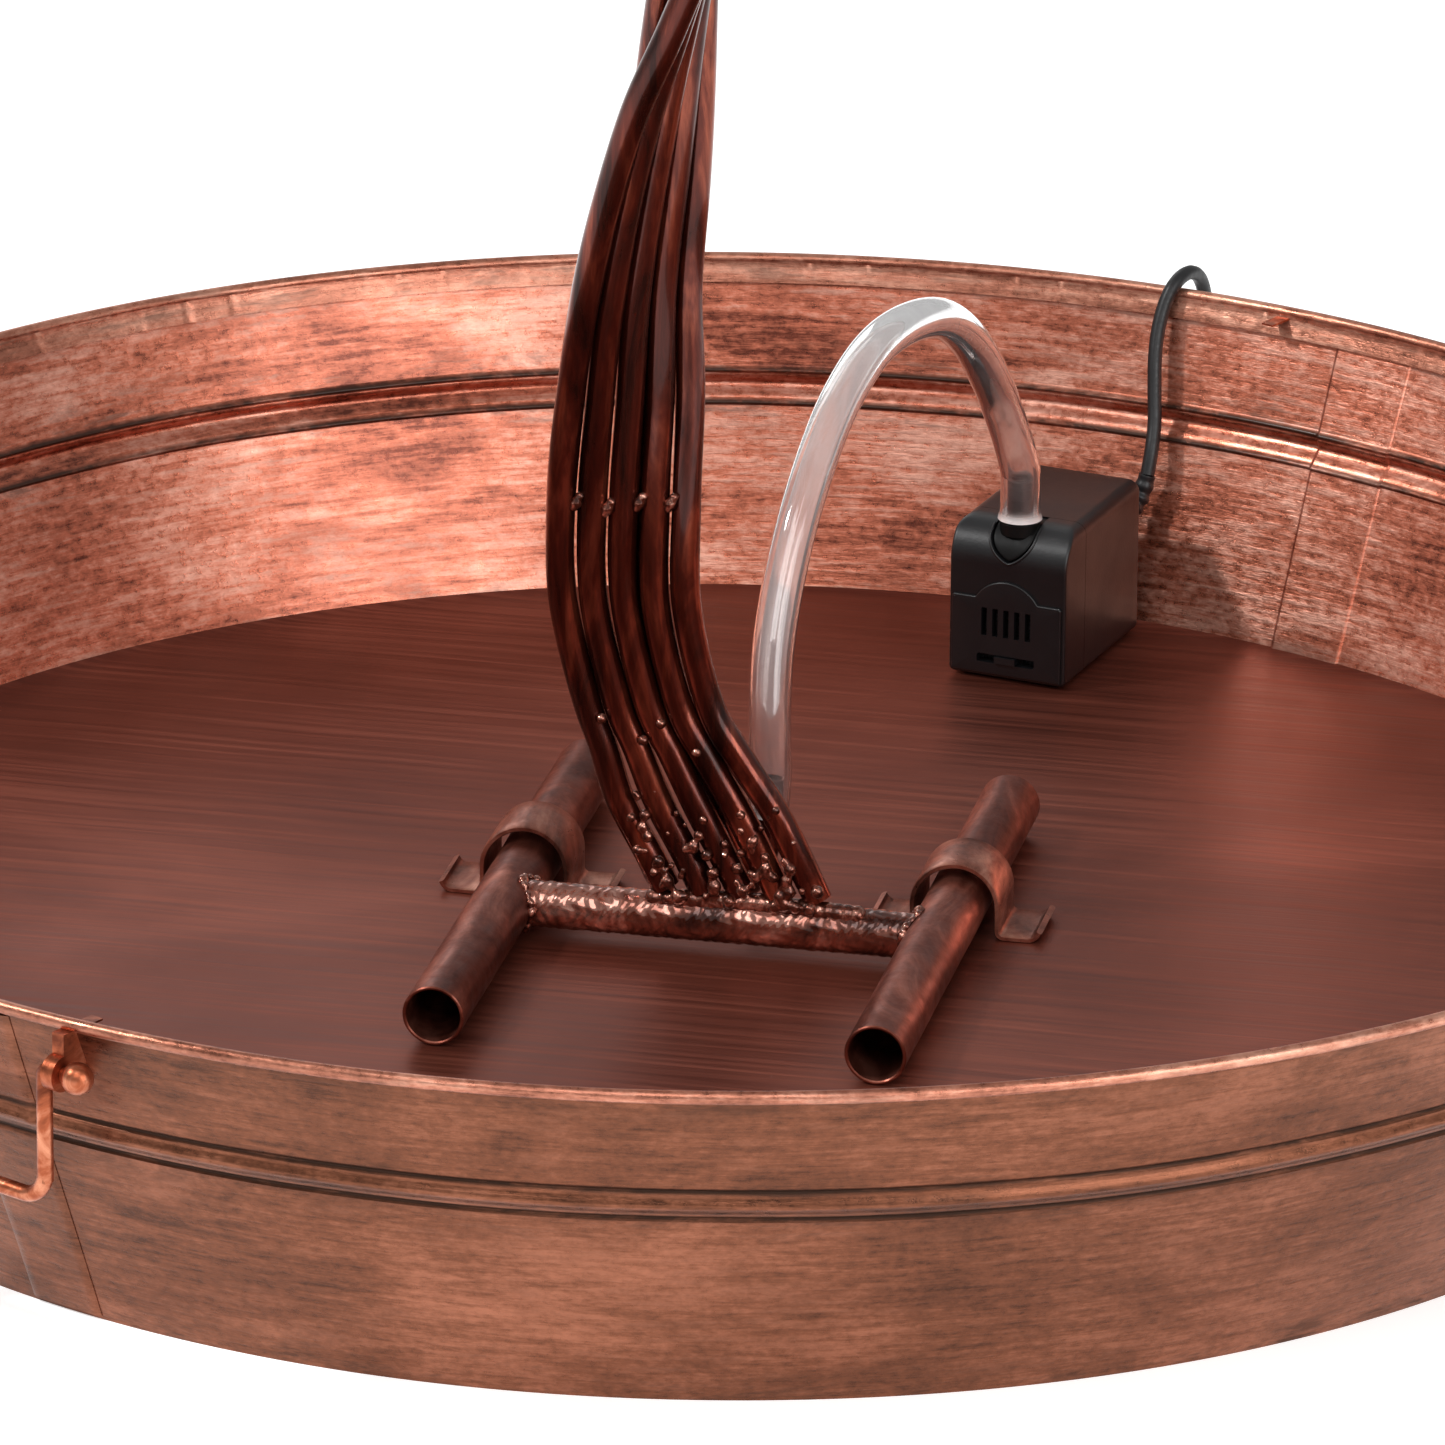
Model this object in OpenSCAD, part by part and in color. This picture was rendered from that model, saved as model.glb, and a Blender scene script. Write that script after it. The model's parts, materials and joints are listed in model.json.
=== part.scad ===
// Tree fountain in a round sheet-metal tub, with a submersible pump.
// Millimetres. +Z is up and the origin is the centre of the tub's foot.
// The stand's runners lie along Y; the pump stands near the back wall.

/* [Tub] */
// Outside diameter of the wall at the rim
rim_d = 610; // [500:5:740]
// Outside diameter of the wall at the foot
foot_d = 534; // [440:2:650]
// Height of the wall
tub_h = 95; // [78:1:116]
// Thickness of the sheet metal
sheet_t = 1; // [0.8:0.1:1.5]
// Height of the floor's upper face above the foot
floor_z = 9; // [7:0.5:12]
// Diameter of the rolled rim
rim_roll_d = 3.4; // [2.6:0.2:4.2]
// Height of the pressed bead around the wall
bead_z = 60.5; // [48:0.5:66]
// Width of the pressed bead
bead_w = 6.4; // [5:0.2:8]
// How far the bead stands out of the wall
bead_out = 1.7; // [1:0.1:2.4]
// Direction of the rear side seam, seen from above
seam_angle = 65.8; // [60:0.2:70]
// Width of the lap at each side seam
seam_w = 24; // [16:1:30]

/* [Handles] */
// Direction of the rear handle, seen from above
handle_angle = 63; // [58:0.5:68]
// Distance between the two legs of a bail
bail_w = 80; // [66:1:96]
// Height of a bail from its pivot to its grip
bail_drop = 34; // [28:1:38]
// Diameter of the bail's wire
bail_wire_d = 4; // [3.2:0.1:4.8]
// Radial clearance of the wire in a lug's eye
bail_play = 0.06; // [0.02:0.01:0.1]
// Thickness of a lug
lug_t = 3.6; // [3:0.2:4.6]
// Diameter of the ball on each end of a bail
ball_d = 8; // [7:0.5:9.5]

/* [Stand] */
// Length of each runner tube
runner_len = 180; // [150:2:216]
// Outside diameter of a runner tube
runner_d = 16; // [13:0.5:19]
// Wall of a runner tube
runner_wall = 1; // [0.8:0.1:1.5]
// Distance between the two runners' centre lines
runner_span = 114; // [95:1:137]
// How far the runners reach in front of the cross tube
runner_front = 81.5; // [68:0.5:98]
// Diameter of the cross tube
cross_d = 12.4; // [10:0.2:15]
// Gap under the runners
runner_lift = 0.3; // [0.2:0.1:0.6]
// Width of a saddle strap
strap_w = 20; // [16:1:24]
// Thickness of a saddle strap
strap_t = 1.5; // [1.2:0.1:1.8]
// Clearance between a runner and its strap
strap_gap = 2.4; // [1.5:0.1:3]
// Distance from the cross tube to the straps' middle
strap_y = 32; // [27:0.5:38]
// Length of a strap's out-turned foot
strap_foot = 8.5; // [7:0.5:11]

/* [Trunk] */
// Diameter of a trunk rod
rod_d = 7.6; // [6.4:0.1:7.9]
// Distance between neighbouring rods in the trunk
rod_pitch = 8; // [8:0.1:9.4]
// Diameter of the riser tube
riser_d = 8; // [6.8:0.1:8]
// Bore of the riser tube
riser_bore = 6.2; // [5:0.1:6.4]

/* [Leaf cups] */
// Length of a leaf cup
leaf_len = 150; // [125:1:170]
// Width of a leaf cup
leaf_w = 84; // [70:1:96]
// Radius that a leaf cup is bent to
leaf_bend_r = 80; // [70:1:96]
// Thickness of a leaf cup
leaf_t = 1.2; // [1:0.1:1.6]
// Tilt of the side leaves towards their outer tips, in degrees
leaf_tilt = 6; // [3:0.5:8]
// Height of the top leaf cup
crown_z = 590; // [560:5:680]

/* [Pump] */
// Width of the pump
pump_w = 34; // [29:1:41]
// Depth of the pump with its front cover
pump_l = 53; // [46:1:62]
// Height of the pump's case
pump_h = 43; // [40:1:51]
// Wall of the pump's case
case_t = 2; // [1.6:0.1:2.4]
// Depth of the front cover
cover_l = 14; // [13.5:0.5:16]
// Radius of the front cover's rounded nose
nose_r = 11; // [9:0.5:11.5]
// Thickness of the raised panel round the inlet slots
panel_t = 0.8; // [0.6:0.1:1]
// Height of the rubber feet
foot_h = 1; // [0.8:0.1:1.4]
// Distance from the pump's nearer back corner to the wall
wall_gap = 5; // [3:0.5:9]
// Turn of the pump, seen from above
pump_yaw = -12; // [-18:0.2:-6]
// Diameter of the rotor's ceramic shaft
shaft_d = 2; // [1.6:0.1:2.4]
// Radial clearance of the rotor on its shaft
shaft_play = 0.05; // [0.02:0.01:0.1]
// Diameter of the magnet
magnet_d = 12.8; // [11:0.2:14]
// Outside diameter of the outlet nozzle
nozzle_d = 8; // [6.8:0.1:8]

/* [Hose and cord] */
// Outside diameter of the clear hose
hose_d = 11; // [10.6:0.2:12.4]
// Bore of the clear hose
hose_bore = 8.4; // [8.3:0.1:9]
// Diameter of the mains lead
cord_d = 4; // [3.4:0.1:4.6]

/* [Hidden] */
$fn = 96;

COPPER = "#a5563a";
DARK_COPPER = "#5d2f27";
ROD_BROWN = "#47190f";
PUMP_BLACK = "#17181a";

// --- Tub ---------------------------------------------------------------
rim_r = rim_d / 2;
foot_r = foot_d / 2;
floor_under = floor_z - sheet_t;
roll_seat = 0.3;
wall_top = tub_h - rim_roll_d + roll_seat;
// The middle of the sheet's top edge lies under the middle of the rolled rim.
function wall_r(z) = foot_r + (rim_r - rim_roll_d / 2 + sheet_t / 2 - foot_r) * z / wall_top;
// The bead is one smooth rib between two narrow pressed grooves.
function bead_at(z) = let (u = abs(z - bead_z) / (bead_w / 2))
    u < 1 ? bead_out * (0.5 + 0.5 * cos(180 * u)) : u < 1.5 ? -0.5 * sin(180 * (u - 1) / 0.5) : 0;
bead_levels = [for (k = [-12 : 12]) bead_z + k * bead_w / 16];
wall_levels = concat([0, floor_under, floor_z], bead_levels, [wall_top]);

// --- Stand -------------------------------------------------------------
runner_x = runner_span / 2;
runner_z = floor_z + runner_lift + runner_d / 2;
// The trunk's points are drawn for a cross tube with its top at this height, and move with it.
trunk_seat = 23.5;
trunk_lift = runner_z + cross_d / 2 - trunk_seat;
cross_len = runner_span - runner_d;
strap_r = runner_d / 2 + strap_gap;

// --- Trunk -------------------------------------------------------------
// Each row of the ribbon of rods: height, middle, spread of the rods, turn of the ribbon in degrees.
trunk_rows = [
    [25, 5.5, 1.25, 0], [34, 1, 1.26, 0], [48, -6.3, 1.27, 0], [62, -13.2, 1.12, 0], [76, -19.7, 1.02, 0],
    [103, -25.9, 1.01, 1], [130, -26.2, 1, 11], [157, -24.8, 1, 29], [184, -23.5, 1, 46], [211, -20, 1, 56],
    [238, -15.6, 1, 70], [262, -10.6, 1, 88], [290, -5, 1, 106], [318, -1, 1, 125], [345, 0, 1, 145]];
bundle_top = trunk_rows[len(trunk_rows) - 1];
function ribbon(row, along, behind) = [
    row[1] + along * row[2] * cos(row[3]) - behind * sin(row[3]),
    along * row[2] * sin(row[3]) + behind * cos(row[3]),
    row[0] + trunk_lift];
function rod_offset(i) = (i - 3) * rod_pitch;
// Side leaves: direction, reach from the trunk's axis, height, in the order of the rods that carry them.
leaf_places = [[290, 120, 418], [2, 118, 470], [62, 122, 396], [128, 118, 505], [208, 122, 446]];
// The riser starts as an upturned inlet behind the cross tube and turns back up behind the rods.
riser_inlet = [for (q = [[7.2, 26.5, 47], [6.8, 25.2, 37], [6.3, 23.3, 28.4], [4.4, 17, 22.6], [2.6, 11.6, 25],
    [0.6, 8.9, 32], [-3.2, 8.3, 42]]) q + [0, 0, trunk_lift]];

// --- Pump --------------------------------------------------------------
pump_back = pump_l / 2;
pump_front = -pump_l / 2;
case_front = pump_front + cover_l;
pump_top = foot_h + pump_h;
case_corner = 3.5;
// The pump stands so that its back left corner keeps wall_gap to the wall at the floor.
corner_turn = pump_yaw + atan2(pump_back, -pump_w / 2);
corner_r = norm([pump_w / 2, pump_back]);
pump_x = 40.4;
pump_y = sqrt(pow(wall_r(floor_z) - sheet_t - wall_gap, 2) - pow(pump_x + corner_r * cos(corner_turn), 2))
    - corner_r * sin(corner_turn);
rotor_z = foot_h + 16;
well_r = magnet_d / 2 + 0.7;
core_front = case_front + 10;
core_back = pump_back - case_t - 0.3;
magnet_front = core_front - 0.3;
magnet_back = core_back - 3;
volute_r = 11.5;
volute_t = 1.5;
volute_front = case_front + 1;
volute_back = core_front - 0.3;
volute_mid = (volute_front + volute_back) / 2;
nozzle_y = case_front - 6;
nozzle_top = pump_top + 12;
gate_z = foot_h + 5.5;
gland_z = 28;

// --- Hose and cord -----------------------------------------------------
// The routes are points chosen by hand; a smooth curve runs through them.
// The hose arches over the water: share of the way from the riser to the nozzle, height and sideways bow.
hose_arch = [
    [1, 54, 0], [1, 65.5, 0], [0.996, 69.5, -0.2], [0.975, 79, -1.1], [0.94, 89.5, -1.7],
    [0.9, 99, -1.7], [0.789, 118, -0.9], [0.655, 132.4, 0], [0.52, 139, -0.3],
    [0.401, 139.2, -1.1], [0.296, 132.6, -1.9], [0.219, 122.4, -2.5], [0.149, 108.6, -3],
    [0.098, 95, -3.1], [0.056, 81, -2.6], [0.028, 68.5, -1.5], [0.0137, 57, -0.5]];
hose_foot = riser_inlet[1];
nozzle_at = [pump_x - nozzle_y * sin(pump_yaw), pump_y + nozzle_y * cos(pump_yaw)];
hose_route = concat(
    [for (q = hose_arch) [hose_foot[0] + q[0] * (nozzle_at[0] - hose_foot[0]) + q[2],
        hose_foot[1] + q[0] * (nozzle_at[1] - hose_foot[1]), q[1]]],
    [riser_inlet[0], riser_inlet[1]]);
gland_route = [[53.4, 256.3, 37], [54.9, 262.2, 37.4], [57.7, 266.9, 39.6], [60.2, 269.5, 43.6], [61.6, 270.8, 49]];
cord_route = [[61.6, 270.8, 49], [62.2, 273.4, 55.5], [62.2, 277, 62], [61.3, 281, 70.5], [60.7, 284, 77.5],
    [60.7, 287.2, 84], [61.6, 290.4, 90.4], [63.3, 293.2, 95.4], [65.4, 296.9, 98], [67.4, 301.8, 97.8],
    [69, 306.5, 94.4], [70, 309.8, 87.5], [70.6, 311.8, 77],
    [70.8, 312.6, 63], [70.6, 312.8, 46], [70.4, 312.4, 30], [69.6, 311.4, 18], [66.6, 309.4, 9], [60, 306.6, 3.8],
    [49, 304.6, 2.4], [36, 304, 2.4], [22, 304, 2.8], [11.5, 304, 3.2]];
lead_route = [[-11.5, 304, 14.2], [-20, 304, 12.4], [-29, 304, 9.6], [-36, 304, 8.3], [-42, 304, 8]];
// The coil is four layers of two turns.
coil_x = 0;
coil_y = 330;
coil_inner = 20;
coil_w = 2 * cord_d;
coil_h = 4 * cord_d;
coil_z = 1;
plug_x = -42;
plug_y = 304;
plug_l = 32;
plug_w = 18;
plug_h = 16;

// --- Curves and sweeps -------------------------------------------------
function unit(v) = v / norm(v);
// Point a share u of the way from p[i] to p[i + 1] on the smooth curve through p.
function curve_point(p, i, u) = let (
    a = p[max(i - 1, 0)], b = p[i], c = p[i + 1], d = p[min(i + 2, len(p) - 1)])
    b + 0.5 * u * ((c - a) + u * ((2 * a - 5 * b + 4 * c - d) + u * (3 * (b - c) + d - a)));
// The smooth curve through p, cut into steps pieces between points.
function smooth(p, steps) = concat(
    [for (i = [0 : len(p) - 2]) for (k = [0 : steps - 1]) curve_point(p, i, k / steps)], [p[len(p) - 1]]);
function heading(p, i) = unit(p[min(i + 1, len(p) - 1)] - p[max(i - 1, 0)]);
function square_to(v, t) = unit(v - (v * t) * t);
// A side vector for each point of p, turned as little as possible from one to the next.
function side_vectors(p, first) = [
    for (i = 0, v = square_to(first, heading(p, 0)); i < len(p);
        i = i + 1, v = square_to(v, heading(p, min(i, len(p) - 1)))) v];
function rings(p, side, r, sides) = [
    for (i = [0 : len(p) - 1]) let (t = heading(p, i), u = side[i], w = cross(t, u))
        for (k = [0 : sides - 1]) p[i] + r * (cos(360 * k / sides) * u + sin(360 * k / sides) * w)];
function skin(first, count, sides, inward) = [
    for (i = [0 : count - 2]) for (k = [0 : sides - 1]) let (
        a = first + i * sides + k, b = first + i * sides + (k + 1) % sides, c = b + sides, d = a + sides)
        each inward ? [[a, b, c], [a, c, d]] : [[a, c, b], [a, d, c]]];

// A solid round bar along p.
module swept_bar(p, d, sides, first = [0, 1, 0]) {
    n = len(p);
    points = rings(p, side_vectors(p, first), d / 2, sides);
    ends = [[for (k = [0 : sides - 1]) k], [for (k = [sides - 1 : -1 : 0]) (n - 1) * sides + k]];
    polyhedron(points, concat(ends, skin(0, n, sides, false)), convexity = 10);
}

// A round tube along p, open at both ends.
module swept_tube(p, d, bore, sides, first = [0, 1, 0]) {
    n = len(p);
    side = side_vectors(p, first);
    points = concat(rings(p, side, d / 2, sides), rings(p, side, bore / 2, sides));
    inner = n * sides;
    last = (n - 1) * sides;
    lips = [for (k = [0 : sides - 1]) let (m = (k + 1) % sides) each [
        [k, m, inner + m], [k, inner + m, inner + k],
        [last + k, inner + last + m, last + m], [last + k, inner + last + k, inner + last + m]]];
    polyhedron(points, concat(lips, skin(0, n, sides, false), skin(inner, n, sides, true)), convexity = 10);
}

// --- Tub ---------------------------------------------------------------
// The wall is two half rings of sheet that meet at the side seams.
module half_ring(turn) rotate([0, 0, seam_angle + turn]) rotate_extrude(angle = 180) children();
module wall_sheet(turn) color(COPPER)
    half_ring(turn) polygon(concat(
        [for (z = wall_levels) [wall_r(z) + bead_at(z), z]],
        [for (k = [len(wall_levels) - 1 : -1 : 0]) let (z = wall_levels[k]) [wall_r(z) - sheet_t + bead_at(z), z]]));
module left_sheet() wall_sheet(0);
module right_sheet() wall_sheet(180);

module tub_floor() color(DARK_COPPER)
    translate([0, 0, floor_under])
        cylinder(r1 = wall_r(floor_under) - sheet_t, r2 = wall_r(floor_z) - sheet_t, h = sheet_t);

// Each sheet's top edge is rolled over a wire.
module rolled_rim(turn) color("#c98363")
    translate([0, 0, wall_top]) half_ring(turn) intersection() {
        translate([wall_r(wall_top) - sheet_t / 2, rim_roll_d / 2 - roll_seat]) circle(d = rim_roll_d);
        square([rim_r * 2, rim_roll_d]);
    }
module left_rim() rolled_rim(0);
module right_rim() rolled_rim(180);

// Each sheet's bottom edge is folded inwards under the floor.
module folded_hem(turn) color(DARK_COPPER)
    half_ring(turn) polygon([
        [wall_r(0) - sheet_t, 0], [wall_r(floor_under) - sheet_t, floor_under],
        [wall_r(0) - 5 * sheet_t, floor_under], [wall_r(0) - 5 * sheet_t, 0]]);
module left_hem() folded_hem(0);
module right_hem() folded_hem(180);

// At each side one sheet's end laps over the other, outside the wall.
module side_seams() color(COPPER)
    for (turn = [0, 180]) rotate([0, 0, seam_angle + turn])
        intersection() {
            rotate_extrude() polygon(concat(
                [for (z = wall_levels) if (z > 1) [wall_r(z) + bead_at(z), z]],
                [for (k = [len(wall_levels) - 1 : -1 : 0]) let (z = wall_levels[k]) if (z > 1)
                    [wall_r(z) + 0.8 + bead_at(z), z]]));
            translate([0, -seam_w / 2, 0]) cube([rim_r * 1.1, seam_w, tub_h]);
        }

// --- Handles -----------------------------------------------------------
// Both handles are drawn at +X of the tub and turned into place.
pivot_z = tub_h - 12.5;
lug_x = bail_w / 2 + bail_wire_d / 2 + 0.6;
pivot_r = sqrt(pow(wall_r(pivot_z), 2) - pow(bail_w / 2, 2)) + bail_wire_d / 2 + 5.4;
eye_r = bail_wire_d / 2 + bail_play;
ball_y = lug_x + lug_t + ball_d / 2 + 0.3;
module at_handle(turn) rotate([0, 0, handle_angle + turn]) children();

// A lug is a thick ear welded to the wall under the rim, with an eye for the wire.
module handle_lug() difference() {
    translate([0, 0, pivot_z]) union() {
        translate([pivot_r, 0, 0]) rotate([90, 0, 0]) cylinder(d = bail_wire_d + 5, h = lug_t);
        translate([pivot_r - 14, -lug_t, -bail_wire_d / 2 - 2.5]) cube([14, lug_t, bail_wire_d + 11 - 0.6]);
    }
    translate([pivot_r, 1, pivot_z]) rotate([90, 0, 0]) cylinder(r = eye_r, h = lug_t + 2);
    translate([pivot_r, -lug_t - 1, pivot_z + bail_wire_d / 2 + 2.5]) cube([14, lug_t + 2, 10]);
}
module handle_lugs() color(COPPER)
    difference() {
        for (turn = [0, 180]) at_handle(turn) {
            translate([0, -lug_x, 0]) handle_lug();
            translate([0, lug_x + lug_t, 0]) handle_lug();
        }
        translate([0, 0, floor_z])
            cylinder(r1 = wall_r(floor_z), r2 = wall_r(wall_top), h = wall_top - floor_z, $fn = 960);
    }

// A bail is one bent wire with a ball on each end.
module bail() {
    bend = 7;
    for (s = [-1, 1]) {
        translate([0, s * bail_w / 2, bend - bail_drop]) cylinder(d = bail_wire_d, h = bail_drop - bend);
        translate([0, s * (bail_w / 2 - bend), bend - bail_drop]) rotate([90, 0, 90])
            rotate([0, 0, s > 0 ? -90 : 180]) rotate_extrude(angle = 90) translate([bend, 0])
                circle(d = bail_wire_d);
        translate([0, s * bail_w / 2, 0]) rotate([s > 0 ? -90 : 90, 0, 0])
            cylinder(d = bail_wire_d, h = ball_y - bail_w / 2);
        translate([0, s * bail_w / 2, 0]) sphere(d = bail_wire_d);
        translate([0, s * ball_y, 0]) sphere(d = ball_d);
    }
    translate([0, -bail_w / 2 + bend, -bail_drop]) rotate([-90, 0, 0])
        cylinder(d = bail_wire_d, h = bail_w - 2 * bend);
}
module placed_bail(turn) color("#9a4f33") at_handle(turn) translate([pivot_r, 0, pivot_z]) bail();
module front_bail() placed_bail(180);
module rear_bail() placed_bail(0);

// --- Stand -------------------------------------------------------------
// A strap arches over a runner and is soldered to the floor by its two feet.
module strap(side) color("#7a4434")
    translate([side * runner_x, strap_y + strap_w / 2, 0]) rotate([90, 0, 0]) linear_extrude(strap_w) {
        intersection() {
            translate([0, runner_z]) difference() {
                circle(r = strap_r + strap_t);
                circle(r = strap_r);
            }
            translate([-2 * strap_r, runner_z]) square([4 * strap_r, 2 * strap_r]);
        }
        for (s = [-1, 1]) {
            translate([s * (strap_r + strap_t / 2) - strap_t / 2, floor_z]) square([strap_t, runner_z - floor_z]);
            translate([s > 0 ? strap_r : -strap_r - strap_t - strap_foot, floor_z])
                square([strap_foot + strap_t, strap_t]);
            translate([s * (strap_r + strap_t + strap_foot), floor_z + strap_t]) circle(r = strap_t);
        }
    }
module left_strap() strap(-1);
module right_strap() strap(1);

module runner(side) color("#70392d")
    translate([side * runner_x, -runner_front, runner_z]) rotate([-90, 0, 0]) difference() {
        cylinder(d = runner_d, h = runner_len);
        translate([0, 0, -1]) cylinder(d = runner_d - 2 * runner_wall, h = runner_len + 2);
    }
module left_runner() runner(-1);
module right_runner() runner(1);

// The cross tube is coped to fit round both runners.
module cross_tube() color("#7d3b29")
    difference() {
        translate([-runner_x, 0, runner_z]) rotate([0, 90, 0]) cylinder(d = cross_d, h = runner_span);
        for (s = [-1, 1]) translate([s * runner_x, -runner_d, runner_z]) rotate([-90, 0, 0])
            cylinder(d = runner_d, h = 2 * runner_d);
    }

// Short beads of weld on top of each end of the cross tube.
module runner_welds() color("#b06a4c")
    for (s = [-1, 1]) for (y = [-1, 1])
        translate([s * cross_len / 2, y * (cross_d / 2 - 0.6), runner_z]) sphere(d = 4.4, $fn = 32);

// --- Trunk -------------------------------------------------------------
function leaf_centre(i) = let (q = leaf_places[i]) [q[1] * cos(q[0]), q[1] * sin(q[0]), q[2] + trunk_lift];
// A rod runs up the ribbon and then bows out to its leaf, which it meets from below.
function branch(i) = let (
    tip = leaf_centre(i - 1), start = ribbon(bundle_top, rod_offset(i), 0), gap = tip - start)
    [start + [0.14 * gap[0], 0.14 * gap[1], 0.3 * gap[2]],
     start + [0.42 * gap[0], 0.42 * gap[1], 0.52 * gap[2]],
     start + [0.74 * gap[0], 0.74 * gap[1], 0.68 * gap[2]],
     start + [0.94 * gap[0], 0.94 * gap[1], 0.84 * gap[2]],
     tip];
function rod_path(i) = concat([for (row = trunk_rows) ribbon(row, rod_offset(i), 0)], branch(i));
module trunk_rod(i) color(ROD_BROWN) swept_bar(smooth(rod_path(i), 2), rod_d, 12);
module trunk_rod_1() trunk_rod(1);
module trunk_rod_2() trunk_rod(2);
module trunk_rod_3() trunk_rod(3);
module trunk_rod_4() trunk_rod(4);
module trunk_rod_5() trunk_rod(5);

behind = (rod_d + riser_d) / 2 + 0.1;
riser_path = concat(riser_inlet, [for (k = [2 : len(trunk_rows) - 1]) ribbon(trunk_rows[k], 0.5 * rod_pitch, behind)],
    [for (q = [[-7, -3.8, 366], [-4, -2.2, 400], [-1, -0.5, 450], [0, 0, 510]]) q + [0, 0, trunk_lift]],
    [[0, 0, crown_z - 30], [0, 0, crown_z + 5]]);
module riser_tube() color(ROD_BROWN) swept_tube(smooth(riser_path, 2), riser_d, riser_bore, 12);

// The mass of weld that joins the rods' lower ends to the cross tube.
module base_weld() color("#8a3f2a")
    hull() {
        for (x = [-13, 24]) translate([x, -1, runner_z + cross_d / 2 + 2]) sphere(d = 8, $fn = 16);
        for (x = [-16, 16]) translate([x, -1, runner_z + cross_d / 2 + 11]) sphere(d = 7, $fn = 16);
    }

// Tack welds between neighbouring rods, across the front of the trunk.
module bundle_welds() color("#b06a4c")
    for (i = [1 : 4]) translate(ribbon(trunk_rows[6], rod_offset(i + 0.5), -2.2) + [0, 0, i == 2 ? -1.5 : 0])
        sphere(d = 4.4, $fn = 24);

// --- Leaf cups ---------------------------------------------------------
// A leaf is a pointed sheet bent across its width, so that water runs off its outer tip.
module leaf_outline() {
    edge_r = (pow(leaf_len / 2, 2) + pow(leaf_w / 2, 2)) / leaf_w;
    intersection() {
        translate([0, edge_r - leaf_w / 2]) circle(r = edge_r);
        translate([0, leaf_w / 2 - edge_r]) circle(r = edge_r);
    }
}
module leaf() intersection() {
    translate([-leaf_len, 0, leaf_bend_r]) rotate([0, 90, 0]) difference() {
        cylinder(r = leaf_bend_r, h = 2 * leaf_len);
        translate([0, 0, -1]) cylinder(r = leaf_bend_r - leaf_t, h = 2 * leaf_len + 2);
    }
    translate([0, 0, -1]) linear_extrude(leaf_bend_r * 0.9) leaf_outline();
}
module side_leaf(i) color(COPPER)
    translate(leaf_centre(i - 1)) rotate([0, leaf_tilt, leaf_places[i - 1][0]]) leaf();
module leaf_cup_1() side_leaf(1);
module leaf_cup_2() side_leaf(2);
module leaf_cup_3() side_leaf(3);
module leaf_cup_4() side_leaf(4);
module leaf_cup_5() side_leaf(5);

// The riser comes up through the middle of the top leaf.
module top_leaf_cup() color(COPPER)
    difference() {
        translate([0, 0, crown_z]) rotate([0, 0, 35]) leaf();
        translate([0, 0, crown_z - 5]) cylinder(d = riser_d + 0.1, h = 10);
    }

module leaf_welds() color("#b06a4c") {
    for (i = [0 : 4]) translate(leaf_centre(i) - [0, 0, 2.2]) sphere(d = rod_d + 2, $fn = 24);
    translate([0, 0, crown_z - 2.4]) difference() {
        cylinder(d = riser_d + 5, h = 2.4);
        translate([0, 0, -1]) cylinder(d = riser_d + 0.1, h = 5);
    }
}

// --- Pump --------------------------------------------------------------
// Everything in the pump is drawn with its front at -Y and its feet at z = 0.
module at_pump() translate([pump_x, pump_y, floor_z]) rotate([0, 0, pump_yaw]) children();

// Outline of the case seen from the front, with rounded upper corners.
module case_outline(inset) {
    corner = case_corner - inset;
    half = pump_w / 2 - inset;
    low = foot_h + inset;
    high = pump_top - inset;
    translate([-half, low]) square([2 * half, high - corner - low]);
    translate([-half + corner, high - corner]) square([2 * (half - corner), corner]);
    for (s = [-1, 1]) translate([s * (half - corner), high - corner]) circle(r = corner);
}
module case_block(inset, front, back) translate([0, back, 0]) rotate([90, 0, 0]) linear_extrude(back - front)
    case_outline(inset);
module along_y(front, back, r) translate([0, back, rotor_z]) rotate([90, 0, 0]) cylinder(r = r, h = back - front);

// The cover's block, with its front top edge rounded to a nose.
module cover_block(inset, back) intersection() {
    case_block(inset, pump_front, back);
    translate([-pump_w, 0, 0]) rotate([90, 0, 90]) linear_extrude(2 * pump_w) {
        r = nose_r - inset;
        front = pump_front + inset;
        high = pump_top - inset;
        translate([front, foot_h + inset]) square([back - front, high - r - foot_h - inset]);
        translate([front + r, high - r]) square([back - front - r, r]);
        translate([front + r, high - r]) circle(r = r);
    }
}
// Outline of the nozzle's V-shaped seat, seen from the front.
module vee(gap) polygon([
    [-6.2 + gap, pump_top + 1], [6.2 - gap, pump_top + 1], [6.2 - gap, pump_top - 2.6], [0, pump_top - 9.6 + 1.5 * gap],
    [-6.2 + gap, pump_top - 2.6]]);

module pump_case() color(PUMP_BLACK) at_pump() difference() {
    case_block(0, case_front, pump_back);
    case_block(case_t, case_front - 1, pump_back - case_t);
    // Hole for the mains lead's strain relief.
    translate([8, pump_back - case_t - 1, gland_z]) rotate([-90, 0, 0]) cylinder(r = 3.2, h = case_t + 2);
}

// The potted stator fills the back of the case around the rotor's well.
module motor_core() color("#26272a") at_pump() difference() {
    case_block(case_t + 0.3, core_front, core_back);
    along_y(core_front - 1, magnet_back + 1.2, well_r);
    along_y(magnet_back, magnet_back + 2.2, 2.6);
}

module rotor_magnet() color("#3b3b3e") at_pump() difference() {
    along_y(magnet_front, magnet_back, magnet_d / 2);
    along_y(magnet_front - 1, magnet_back + 1, shaft_d / 2 + shaft_play);
}

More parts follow.
